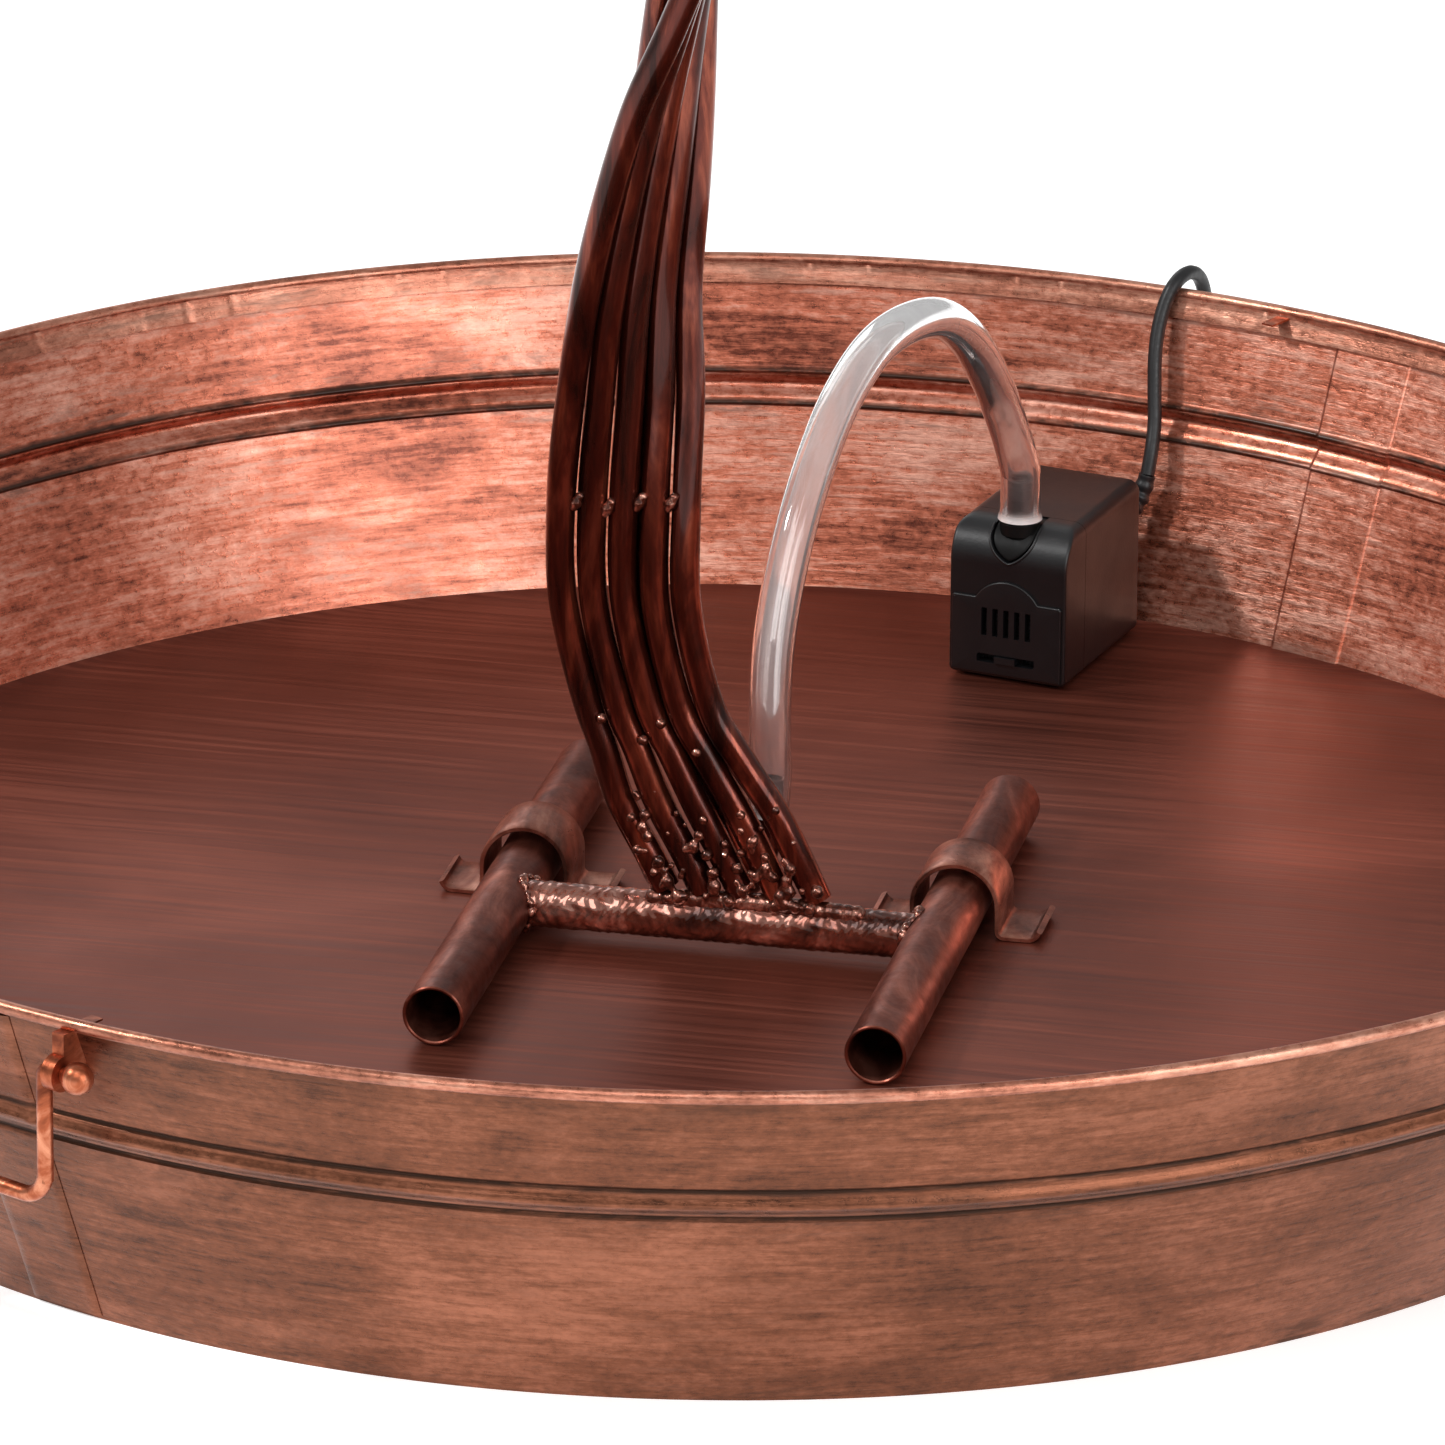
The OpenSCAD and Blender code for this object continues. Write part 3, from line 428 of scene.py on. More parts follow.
dress(clear_hose, clear_pvc, None, "hose_clear", "water_hose")
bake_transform(clear_hose)


# ---------------------------------------------------------------------------
# Table: a plain pale top that the fountain stands on.
def table_top(size=14.0):
    mesh = bpy.data.meshes.new("table_top")
    mesh.from_pydata([[-size, -size, 0], [size, -size, 0], [size, size, 0], [-size, size, 0]], [],
                     [[0, 1, 2, 3]])
    top = put("table_top", mesh)
    paint = plain_material("table_paint", (0.97, 0.97, 0.97), 0.9, Specular_IOR_Level=0.1,
                           Emission_Strength=0.45)
    paint.node_tree.nodes["Principled BSDF"].inputs["Emission Color"].default_value = (1, 1, 1, 1)
    mesh.materials.append(paint)


table_top()


# ---------------------------------------------------------------------------
# Tub: two lapped copper-washed steel sheets rolled to a flared ring with one bead
# pressed between two grooves, a flat floor set in above a folded foot, and a rim
# rolled over a wire and crimped down on the inside.
wall_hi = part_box("right_sheet")[1]
rim_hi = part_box("right_rim")[1]
floor_lo, floor_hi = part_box("tub_floor")
rim_r = rim_hi[0]
tub_h = rim_hi[2]
foot_r = 267 * MM
sheet_t = 1 * MM
bead_z = 60.5 * MM
bead_half = 3.2 * MM
bead_out = 1.9 * MM
seam_turn = math.radians(65.8)
seam_half = 12 * MM / rim_r


def wall_radius(z):
    return foot_r + (rim_r - 1.2 * MM - foot_r) * z / wall_hi[2]


def bead_profile(z):
    """A raised cosine rib with a shallow sine groove on each side."""
    u = np.abs(z - bead_z) / bead_half
    rib = bead_out * (0.5 + 0.5 * np.cos(np.pi * np.clip(u, 0, 1)))
    groove = np.where((u > 1) & (u < 1.6), -0.8 * MM * np.sin(np.pi * np.clip((u - 1) / 0.6, 0, 1)), 0)
    return rib + groove


def wall_turns(count):
    """Even turns round the tub, with extra ones where the sheets' edges step."""
    edges = np.array([seam_turn + side * seam_half + half for side in (-1, 1) for half in (0, np.pi)])
    near = (edges[:, None] + np.linspace(-0.004, 0.004, 9)[None]).ravel()
    turns = np.concatenate([full_turn(count), near]) % (2 * np.pi)
    return np.sort(turns)


def lap_step(turn):
    """1 inside the lap of the two sheets and 0 outside it, with a short ramp."""
    away = np.abs((turn - seam_turn + np.pi / 2) % np.pi - np.pi / 2)
    return np.clip((seam_half + 0.0011 - away) / 0.0022, 0, 1)


def ripple(turn, z):
    """Slow waves of a few tenths of a millimetre that hand-rolled sheet keeps."""
    return 0.22 * MM * (np.sin(7 * turn + 40 * z) + 0.7 * np.sin(13 * turn - 70 * z + 1)
                        + 0.5 * np.sin(23 * turn + 90 * z))


def wall_rows():
    """Rows up the outside and down the inside; radius = cone + bead + ripple, less the sheet inside."""
    fine = bead_z + np.linspace(-1.8, 1.8, 37) * bead_half
    top = wall_hi[2]
    z_out = np.concatenate([[0, 2 * MM, 10 * MM, 25 * MM, 40 * MM], fine, [75 * MM, 84 * MM, top]])
    turn = wall_turns(720)
    z = np.concatenate([z_out, z_out[::-1]])[:, None]
    inside = (np.arange(len(z)) >= len(z_out))[:, None]
    r = wall_radius(z) + bead_profile(z) + ripple(turn[None], z) * np.sin(np.pi * np.clip(z / top, 0, 1))
    r = r - inside * (sheet_t + 0.7 * MM * lap_step(turn)[None])
    return np.stack([r * np.cos(turn), r * np.sin(turn), np.broadcast_to(z, r.shape)], -1)


def copper_patina(name, light, mid, dark, dirt_and_shade_strength, gloss, weathered=None):
    """Copper wash over steel: short rolled-in marks, cloudy red and brown patches, dark stains, and painted
    shade darkening the foot, the bead's grooves and the band under the rim.
    """
    mat = plain_material(name, mid, gloss, 0.9, Coat_Weight=0.12, Coat_Roughness=0.22)
    cloud = noise(mat, (13, 13, 26), 6, 0.68, 0.5)
    marks = noise(mat, (46, 46, 560), 5, 0.72)
    grit = noise(mat, (330, 330, 520), 4, 0.7)
    tone = mixed(mat, 0.5, cloud, marks)
    tone = mixed(mat, 0.22, tone, grit)
    base = ramp(mat, tone, [(0.4, dark), (0.49, mid), (0.59, light)])
    if weathered:
        lining = node(mat, "ShaderNodeAttribute", {"attribute_name": "lining"}).outputs["Fac"]
        outer = ramp(mat, tone, list(zip((0.39, 0.5, 0.62), weathered)))
        base = node(mat, "ShaderNodeMix", {"data_type": "RGBA"}, i0=lining, i6=outer, i7=base).outputs[2]
        link(mat, ramp(mat, lining, [(0.0, 0.03), (1.0, 0.3)]), "Coat Weight")
    blotch = noise(mat, (20, 20, 60), 6, 0.75, 0.8)
    stains = ramp(mat, maths(mat, "MULTIPLY", blotch, marks), [(0.25, 0.0), (0.36, 1.0)])
    height = node(mat, "ShaderNodeSeparateXYZ",
                  Vector=node(mat, "ShaderNodeTexCoord").outputs["Object"]).outputs["Z"]
    # Partly real stains, partly painted shade: the stains are darkened in height bands along the foot,
    # beside the bead and just under the rim, where shade falls.
    shade_and_dirt_bands = ramp(mat, ranged(mat, height, 0.0, 0.095),
                [(0.0, 0.8), (0.14, 0.25), (0.5, 0.25), (0.58, 0.7), (0.62, 0.1), (0.655, 0.1), (0.69, 0.7),
                 (0.8, 0.25), (0.92, 0.3), (0.965, 0.75), (1.0, 0.3)])
    dirt_and_shade_mask = maths(mat, "MULTIPLY", stains, shade_and_dirt_bands)
    # Painted shade: a dark band in each groove beside the bead, standing in for the shadow that falls
    # there.
    off_bead = maths(mat, "ABSOLUTE", maths(mat, "SUBTRACT", height, bead_z))
    groove = ramp(mat, ranged(mat, off_bead, 0.0, 0.01),
                  [(0.3, 0.0), (0.38, 1.0), (0.45, 1.0), (0.55, 0.0)])
    groove = maths(mat, "MULTIPLY", groove, ramp(mat, blotch, [(0.38, 0.55), (0.5, 1.0)]))
    dirt_and_shade_mask = maths(mat, "MULTIPLY", maths(mat, "MAXIMUM", dirt_and_shade_mask, groove), dirt_and_shade_strength, clamp=True)
    # The near-black brown is the colour of the real stains and of the painted shade at the foot, the
    # grooves and under the rim.
    coat = node(mat, "ShaderNodeMix", {"data_type": "RGBA"}, i0=dirt_and_shade_mask, i6=base,
                i7=(0.035, 0.018, 0.012, 1)).outputs[2]
    link(mat, coat, "Base Color")
    rough = ranged(mat, grit, 0.3, 0.7, gloss - 0.08, gloss + 0.12)
    link(mat, maths(mat, "MULTIPLY_ADD", dirt_and_shade_mask, 0.3, rough), "Roughness")
    relief(mat, maths(mat, "MULTIPLY_ADD", marks, 1.5, grit), 0.3, 0.0004)
    return mat


# The 0.95 sets how dark the stains and the painted shade at the foot, bead and rim get.
sheet_copper = copper_patina("sheet_copper", (0.84, 0.42, 0.31), (0.55, 0.16, 0.09), (0.15, 0.034, 0.018),
                             0.95, 0.3,
                             [(0.085, 0.032, 0.018), (0.20, 0.07, 0.036), (0.37, 0.14, 0.08)])
wall_grid = wall_rows()
wall = grid_piece("wall_sheets", wall_grid, along=True, crease=50)
lining = wall.data.attributes.new("lining", "FLOAT", "POINT")
lining.data.foreach_set("value",
                        np.repeat(np.arange(len(wall_grid)) >= len(wall_grid) // 2,
                                  wall_grid.shape[1]).astype(float))
dress(wall, sheet_copper, "tub", "copper_sheet", "left_sheet", "right_sheet")


def lap_rows(turn_mid):
    """The outer sheet's free edge: a strip 0.8 mm proud of the wall, its edges rounded down to it."""
    z = np.linspace(1.2 * MM, wall_hi[2] - 0.4 * MM, 90)[:, None]
    across = np.concatenate([np.linspace(-1, 1, 16), np.linspace(1, -1, 16)])
    out = np.concatenate([0.8 * MM * np.clip((1 - np.abs(np.linspace(-1, 1, 16))) * 9, 0.25, 1),
                          np.full(16, -0.1 * MM)])
    turn = turn_mid + across[None] * seam_half
    r = wall_radius(z) + bead_profile(z) + ripple(turn, z) * np.sin(np.pi * z / wall_hi[2]) + out[None]
    return np.stack([r * np.cos(turn), r * np.sin(turn), np.broadcast_to(z, r.shape)], -1)


for turn_mid, name, nodes in ((seam_turn, "rear_lap", ["side_seams"]),
                              (seam_turn + np.pi, "front_lap", [])):
    lap = grid_piece(name, lap_rows(turn_mid), caps=True, flip=True)
    dress(lap, sheet_copper, "tub", "copper_sheet", *nodes)


def lathe_rows(profile, turns):
    """A profile of (radius, height) turned about Z."""
    profile = np.asarray(profile, float)
    turn = full_turn(turns)
    r, z = profile[:, :1], profile[:, 1:]
    return np.stack([r * np.cos(turn), r * np.sin(turn), np.broadcast_to(z, (len(profile), turns))], -1)


def rim_rows():
    """The wire roll, and the sheet's end folded down inside with a faint crimp every 14 mm or so."""
    roll, crimps = 1.7 * MM, 136
    centre_r, centre_z = rim_r - roll, tub_h - roll
    turn = full_turn(12 * crimps)
    bend = np.radians(np.linspace(-100, 196, 24))
    r = np.concatenate([centre_r + roll * np.cos(bend),
                        [300.6 * MM, 299.4 * MM, 299.2 * MM, 300.4 * MM, 301.6 * MM]])
    z = np.concatenate([centre_z + roll * np.sin(bend),
                        [90.8 * MM, 88.2 * MM, 87.6 * MM, 87.5 * MM, 89.5 * MM]])
    flap = np.concatenate([np.zeros(20), [0.1, 0.3, 0.6, 0.9], [1, 1, 1, 0.6, 0]])
    tick = np.clip(np.cos(crimps * turn + 2.6 * np.sin(9 * turn)) - 0.9, 0, 1) / 0.1
    tick = tick * (0.55 + 0.45 * np.sin(31 * turn))
    r = r[:, None] + 0.3 * MM * flap[:, None] * tick[None]
    return np.stack([r * np.cos(turn), r * np.sin(turn), np.broadcast_to(z[:, None], r.shape)], -1)


rim_bright = copper_patina("rim_bright", (0.80, 0.40, 0.28), (0.50, 0.19, 0.12), (0.22, 0.075, 0.045), 0.9,
                           0.3)
rim = grid_piece("rolled_rim", rim_rows(), along=True)
dress(rim, rim_bright, "tub", "rim_copper", "left_rim", "right_rim")


def floor_material():
    """Dark brown baked finish over brushed sheet: straight fine streaks, cloudy tone, dull sheen."""
    mat = plain_material("floor_bronze", (0.18, 0.048, 0.03), 0.42, 0.7, Specular_IOR_Level=0.3)
    streaks = noise(mat, (7, 420, 7), 5, 0.6, 0.3, turn=-12)
    cloud = noise(mat, (6, 9, 6), 4, 0.55, 0.6, turn=-12)
    tone = mixed(mat, 0.5, streaks, cloud)
    link(mat, ramp(mat, tone, [(0.34, (0.11, 0.027, 0.017)), (0.5, (0.19, 0.05, 0.031)),
                               (0.66, (0.32, 0.095, 0.06))]), "Base Color")
    link(mat, ramp(mat, streaks, [(0.3, 0.34), (0.7, 0.52)]), "Roughness")
    relief(mat, streaks, 0.3, 0.0003)
    return mat


def floor_rows(turns=360):
    """A disc with a slightly raised, rounded edge where it meets the wall, closed underneath."""
    edge = wall_radius(floor_hi[2]) - sheet_t
    top, under = floor_hi[2], floor_lo[2]
    radii = np.concatenate([[0], np.linspace(0.01, 0.985, 40), [0.99, 0.995, 1.0]]) * edge
    lift = 0.15 * MM * np.sin(radii * 90) + 0.6 * MM * np.clip((radii - edge * 0.985) / (edge * 0.015), 0,
                                                               1) ** 2
    profile = [(r, top + h) for r, h in zip(radii, lift)] + [(edge - 0.4 * MM, under), (edge * 0.5, under),
                                                             (0, under)]
    return lathe_rows(profile, turns)


bronze_floor = floor_material()
floor = grid_piece("floor_disc", floor_rows(), weld=True)
dress(floor, bronze_floor, "tub", "floor_brown", "tub_floor")

hem_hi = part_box("right_hem")[1]
hem_r = wall_radius(0.0) - sheet_t
hem_profile = [(hem_r, 0), (wall_radius(hem_hi[2]) - sheet_t, hem_hi[2]), (hem_r - 3.6 * MM, hem_hi[2]),
               (hem_r - 4 * MM, hem_hi[2] - 0.6 * MM), (hem_r - 4 * MM, 0.6 * MM), (hem_r - 3.6 * MM, 0)]
hem = grid_piece("folded_foot", lathe_rows(hem_profile, 360), along=True)
dress(hem, bronze_floor, "tub", "floor_brown", "left_hem", "right_hem")


# ---------------------------------------------------------------------------
# Handles: each is one bent steel wire with peened ball ends, copper washed, that
# hangs in two thick ears brazed to the wall under the rim.
bail_wire_r = 2 * MM
bail_half = 40 * MM
bail_drop = 34 * MM
bail_bend = 7 * MM
bail_ball_r = 4 * MM
ball_y = 50.5 * MM
handle_turn = math.radians(63)


def wire_copper_material():
    mat = plain_material("wire_copper", (0.50, 0.20, 0.11), 0.3, 0.95)
    tone = noise(mat, (90, 90, 90), 5, 0.65, 0.6)
    link(mat, ramp(mat, tone, [(0.35, (0.14, 0.034, 0.016)), (0.5, (0.38, 0.10, 0.045)),
                               (0.68, (0.75, 0.32, 0.19))]),
         "Base Color")
    link(mat, ramp(mat, tone, [(0.3, 0.45), (0.7, 0.24)]), "Roughness")
    relief(mat, noise(mat, (500, 500, 500), 3), 0.25, 0.0003)
    return mat


def bail_line():
    """Half of the wire from its ball to the middle of the grip, then the same mirrored."""
    corner = np.radians(np.linspace(0, -90, 12))
    low = np.stack([bail_half - bail_bend + bail_bend * np.cos(corner),
                    bail_bend - bail_drop + bail_bend * np.sin(corner)], -1)
    turn_in = np.radians(np.linspace(0, 90, 8))
    high = np.stack([bail_half + 2 * MM * (1 - np.sin(turn_in)), -2 * MM * (1 - np.cos(turn_in))], -1)
    legs = np.stack([np.full(8, bail_half), np.linspace(-4 * MM, bail_bend - bail_drop - 2 * MM, 8)], -1)
    grip = np.stack([np.linspace(bail_half - bail_bend - 3 * MM, 0, 10), np.full(10, -bail_drop)], -1)
    half = np.vstack([[[ball_y, 0], [bail_half + 6 * MM, 0]], high, legs, low, grip])
    line = np.vstack([half, half[-2::-1] * [-1, 1]])
    return np.column_stack([np.zeros(len(line)), line])


def ball_rows(centre, radius, rows=17, columns=28):
    """A sphere with its poles on Y."""
    down, turn = np.meshgrid(np.linspace(0, np.pi, rows), full_turn(columns), indexing="ij")
    x, y, z = np.sin(down) * np.cos(turn), np.cos(down), np.sin(down) * np.sin(turn)
    return np.asarray(centre, float) + radius * np.stack([x, y, z], -1)


def turned(rows, turn, origin):
    """Rows turned about Z by an angle and moved to origin."""
    c, s = math.cos(turn), math.sin(turn)
    return rows @ np.array([[c, s, 0], [-s, c, 0], [0, 0, 1]]) + np.asarray(origin, float)


def join(name, parts):
    """Several pieces made into one object."""
    with bpy.context.temp_override(active_object=parts[0], selected_editable_objects=parts,
                                   selected_objects=parts):
        bpy.ops.object.join()
    parts[0].name = name
    return parts[0]


wire_copper = wire_copper_material()
for body, turn in (("rear_bail", handle_turn), ("front_bail", handle_turn + math.pi)):
    hinge = next(j for j in frame["joints"] if j["child"] == body)["pos_m"]
    parts = [grid_piece(body + "_wire", turned(tube_rows(bail_line(), bail_wire_r, 20), turn, hinge),
                        caps=True)]
    for side in (-1, 1):
        ball = ball_rows((0, side * ball_y, 0), bail_ball_r)
        parts.append(grid_piece(body + "_ball", turned(ball, turn, hinge), flip=True, weld=True))
    dress(join(body + "_wire", parts), wire_copper, body, "bail_copper", body)
wear("handle_lugs", wire_copper)


# ---------------------------------------------------------------------------
# Saddle straps: two strips of sheet bent over a runner with their ends turned out
# and curled up, soldered to the floor. The stand's runners push in under them.
runner_x = 57 * MM
runner_r = 8 * MM
runner_z = floor_hi[2] + 0.3 * MM + runner_r
strap_t = 1.5 * MM
strap_r = runner_r + 2.4 * MM


def strap_line():
    """Foot curl, foot, leg, arch, leg, foot and curl of one strap, in XZ about the runner's centre."""
    mid = strap_r + strap_t / 2
    base = floor_hi[2] - runner_z + strap_t / 2
    curl = np.radians(np.linspace(75, 0, 7))
    end = mid + 8.2 * MM
    tip = np.stack([end + 3 * MM * np.sin(curl), base + 3 * MM * (1 - np.cos(curl))], -1)
    heel = np.radians(np.linspace(0, 90, 7))
    foot = np.stack([mid + 2 * MM * (1 - np.sin(heel)), base + 2 * MM * (1 - np.cos(heel))], -1)
    arch = np.radians(np.linspace(0, 90, 20))
    bow = np.stack([mid * np.cos(arch), mid * np.sin(arch)], -1)
    half = np.vstack([tip, [[mid + 5 * MM, base]], foot, [[mid, -2 * MM]], bow])
    return np.vstack([half, half[-2::-1] * [-1, 1]])


def strap_rows(x_mid, y_lo, y_hi):
    """The line given its thickness and width: a flat rounded rectangle carried along it."""
    line = strap_line()
    ahead = np.gradient(line, axis=0)
    ahead /= np.linalg.norm(ahead, axis=1)[:, None]
    out = np.stack([ahead[:, 1], -ahead[:, 0]], -1)
    width = y_hi - y_lo
    corner = [(-0.5, -0.3), (-0.47, -0.5), (-0.2, -0.5), (0.2, -0.5), (0.47, -0.5), (0.5, -0.3), (0.5, 0.3),
              (0.47, 0.5),
              (0.2, 0.5), (-0.2, 0.5), (-0.47, 0.5), (-0.5, 0.3)]
    w, t = np.array(corner).T
    wave = 0.35 * MM * np.sin(np.linspace(0, 11, len(line)))[:, None]
    x = x_mid + line[:, :1] + out[:, :1] * t[None] * strap_t
    z = runner_z + line[:, 1:] + out[:, 1:] * t[None] * strap_t
    y = (y_lo + y_hi) / 2 + w[None] * width + wave * np.sign(w)[None]
    return np.stack([x, y, z], -1)


def aged_copper(name, dark, mid, bright, gloss, metallic, grain=220):
    """Dull brown copper with reddish patches, bright rubbed spots and a fine cast grain."""
    mat = plain_material(name, mid, gloss, metallic)
    tone = noise(mat, (70, 28, 70), 6, 0.66, 0.8)
    link(mat, ramp(mat, tone, [(0.34, dark), (0.5, mid), (0.7, bright)]), "Base Color")
    skin = noise(mat, (grain, grain, grain), 4, 0.6)
    link(mat, ranged(mat, skin, 0.3, 0.7, gloss - 0.08, gloss + 0.14), "Roughness")
    relief(mat, skin, 0.3, 0.0004)
    return mat


runner_brown = aged_copper("runner_brown", (0.075, 0.018, 0.012), (0.18, 0.048, 0.03), (0.45, 0.16, 0.11),
                           0.36, 0.85)
strap_brown = aged_copper("strap_brown", (0.10, 0.035, 0.024), (0.30, 0.11, 0.075), (0.62, 0.31, 0.22),
                          0.34, 0.85, 500)
for name in ("left_strap", "right_strap"):
    lo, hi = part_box(name)
    strap = grid_piece(name + "_sheet", strap_rows((lo[0] + hi[0]) / 2, lo[1], hi[1]), caps=True, crease=35,
                       flip=True)
    dress(strap, strap_brown, "tub", "runner_brown", name)


# ---------------------------------------------------------------------------
# Stand: two open-ended runner tubes and a hammered cross tube coped between them,
# brazed.
def pipe_rows(start, stop, outer, inner, count=60, sides=72, dent=0.0):
    """A tube along Y: outside forwards with chamfered ends, then back through the bore."""
    s = np.concatenate([[0, 0.35 * MM], np.linspace(1.5 * MM, stop - start - 1.5 * MM, count),
                        [stop - start - 0.35 * MM, stop - start]])
    trim = np.zeros(len(s))
    trim[[0, -1]] = 0.3 * MM
    y = np.concatenate([s, s[::-1]])
    r = np.concatenate([outer - trim, inner + trim[::-1]])
    turn = full_turn(sides)
    wobble = dent * (np.sin(90 * y[:, None] + turn) + np.sin(210 * y[:, None] - 2 * turn))
    rr = r[:, None] + wobble
    return np.stack([rr * np.cos(turn), start + np.broadcast_to(y[:, None], rr.shape), rr * np.sin(turn)],
                    -1)


for name in ("left_runner", "right_runner"):
    lo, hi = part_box(name)
    mid = [(lo[k] + hi[k]) / 2 for k in range(3)]
    rows = pipe_rows(lo[1], hi[1], runner_r - 0.05 * MM, runner_r - 1 * MM,
                     dent=0.03 * MM) + np.array([mid[0], 0, mid[2]])
    dress(grid_piece(name + "_tube", rows, along=True, flip=True), runner_brown, "stand", "runner_brown",
          name)


def hammered_rows(start, stop, radius, centre_z):
    """A tube along X whose surface is beaten: the radius varies with crossed waves of uneven pitch."""
    x, turn = np.meshgrid(np.linspace(start, stop, 300), full_turn(96), indexing="ij")
    beat = np.sin(x * 1900 + 2.3 * np.sin(5 * turn + x * 300)) * np.sin(5 * turn + x * 700 + 1)
    beat = beat + 0.7 * np.sin(x * 1130 - 3 * turn + 1.7 * np.sin(x * 410)) * np.sin(4 * turn - x * 900)
    r = radius - 0.16 * MM + 0.12 * MM * beat
    return np.stack([x, r * np.cos(turn), centre_z + r * np.sin(turn)], -1)


def lacquered_copper(name, dark, mid, bright, gloss, coat, stretch=(60, 60, 60)):
    """Dark copper under clear lacquer: deep red-brown body, small bright rubbed patches, a wet coat."""
    mat = plain_material(name, mid, gloss, 0.85, Coat_Weight=coat, Coat_Roughness=0.07)
    tone = noise(mat, stretch, 5, 0.65, 0.7)
    link(mat, ramp(mat, tone, [(0.36, dark), (0.52, mid), (0.7, bright)]), "Base Color")
    link(mat, ramp(mat, tone, [(0.3, gloss + 0.12), (0.7, gloss - 0.06)]), "Roughness")
    relief(mat, noise(mat, tuple(6 * k for k in stretch), 3), 0.22, 0.0003)
    return mat


cross_copper = lacquered_copper("cross_copper", (0.05, 0.013, 0.008), (0.28, 0.09, 0.058),
                                (0.90, 0.50, 0.40), 0.16, 0.7)
cross_lo, cross_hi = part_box("cross_tube")
cross_r = (cross_hi[2] - cross_lo[2]) / 2
cross_z = (cross_hi[2] + cross_lo[2]) / 2
cross = grid_piece("cross_bar",
                   hammered_rows(cross_lo[0] + 1.2 * MM, cross_hi[0] - 1.2 * MM, cross_r, cross_z),
                   caps=True, flip=True)
dress(cross, cross_copper, "stand", "cross_copper", "cross_tube")


# ---------------------------------------------------------------------------
# Trunk: five 7.6 mm rods laid side by side as a ribbon, bent and twisted together,
# tacked half-way up and fanned out at the foot. A copper riser tube climbs behind
# them. Every rod bows out at the top to carry one leaf cup.
rod_r = 3.8 * MM
rod_pitch = 8 * MM
riser_r = 4 * MM
trunk_rows = np.array([
    [25, 5.5, 1.25, 0], [34, 1, 1.26, 0], [48, -6.3, 1.27, 0], [62, -13.2, 1.12, 0], [76, -19.7, 1.02, 0],
    [103, -25.9, 1.01, 1], [130, -26.2, 1, 11], [157, -24.8, 1, 29], [184, -23.5, 1, 46], [211, -20, 1, 56],
    [238, -15.6, 1, 70], [262, -10.6, 1, 88], [290, -5, 1, 106], [318, -1, 1, 125], [345, 0, 1, 145]])
leaf_places = [(290, 120, 418), (2, 118, 470), (62, 122, 396), (128, 118, 505), (208, 122, 446)]
crown_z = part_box("top_leaf_cup")[0][2]


def ribbon(rows, along, behind):
    """Points on the ribbon of rods: its middle, plus along its width and behind its face, as it turns."""
    z, mid, spread, turn = rows.T * np.array([[MM], [MM], [1], [np.pi / 180]])
    x = mid + along * spread * np.cos(turn) - behind * np.sin(turn)
    y = along * spread * np.sin(turn) + behind * np.cos(turn)
    return np.stack([x, y, z], -1)


def leaf_centre(place):
    turn, reach, z = place
    return MM * np.array([reach * math.cos(math.radians(turn)), reach * math.sin(math.radians(turn)), z])


def rod_line(k):
    """Rod k up the ribbon and out along a bow to its leaf, which it meets from below."""
    trunk = ribbon(trunk_rows, (k - 2) * rod_pitch, 0.0)
    gap = leaf_centre(leaf_places[k]) - trunk[-1]
    share = np.array([[0.14, 0.14, 0.3], [0.42, 0.42, 0.52], [0.74, 0.74, 0.68], [0.94, 0.94, 0.84],
                      [1, 1, 1]])
    return smooth_curve(np.vstack([trunk, trunk[-1] + share * gap]), 12)


rod_lacquer = lacquered_copper("rod_lacquer", (0.024, 0.005, 0.003), (0.105, 0.018, 0.01),
                               (0.34, 0.085, 0.045), 0.2, 0.3,
                               (110, 110, 18))
for k in range(5):
    line = rod_line(k)
    wobble = 0.08 * MM * np.sin(np.linspace(0, 60, len(line)) + k)
    rod = grid_piece(f"rod_{k + 1}", tube_rows(line, rod_r + wobble, 24), caps=True)
    dress(rod, rod_lacquer, "stand", "rod_brown", f"trunk_rod_{k + 1}")

riser_inlet = MM * np.array([
    [7.2, 26.5, 47], [6.8, 25.2, 37], [6.3, 23.3, 28.4], [4.4, 17, 22.6], [2.6, 11.6, 25], [0.6, 8.9, 32],
    [-3.2, 8.3, 42]])
riser_top = MM * np.array([
    [-7, -3.8, 366], [-4, -2.2, 400], [-1, -0.5, 450], [0, 0, 510]])
riser_line = smooth_curve(np.vstack([
    riser_inlet, ribbon(trunk_rows[2:], 0.5 * rod_pitch, rod_r + riser_r + 0.1 * MM), riser_top,
    [[0, 0, crown_z - 30 * MM], [0, 0, crown_z + 5 * MM]]]), 10)
riser_rows = np.concatenate([tube_rows(riser_line, riser_r, 24), tube_rows(riser_line, 3.1 * MM, 24)[::-1]])
riser = grid_piece("riser_pipe", riser_rows, along=True)
dress(riser, rod_lacquer, "stand", "rod_brown", "riser_tube")


# ---------------------------------------------------------------------------
# Welds: beads of bronze run over the rods' feet, between the rods half-way up and
# round the ends of the cross tube, left as they set.
def lumps(name, centres, radii, voxel=0.45 * MM):
    """Spheres at the centres, fused by a voxel remesh and smoothed into set drops."""
    down, turn = np.meshgrid(np.linspace(0, np.pi, 9), full_turn(12), indexing="ij")
    ball = np.stack([np.sin(down) * np.cos(turn), np.sin(down) * np.sin(turn), np.cos(down)], -1)
    parts = [grid_piece(name, np.asarray(c) + r * ball, flip=True, weld=True) for c,
             r in zip(centres, radii)]
    piece = join(name, parts)
    remesh = piece.modifiers.new("fuse", "REMESH")
    remesh.mode = "VOXEL"
    remesh.voxel_size = voxel
    soften = piece.modifiers.new("soften", "SMOOTH")
    soften.factor = 0.6
    soften.iterations = 3
    with bpy.context.temp_override(object=piece, active_object=piece):
        bpy.ops.object.modifier_apply(modifier="fuse")
        bpy.ops.object.modifier_apply(modifier="soften")
    piece.data.shade_smooth()
    return piece


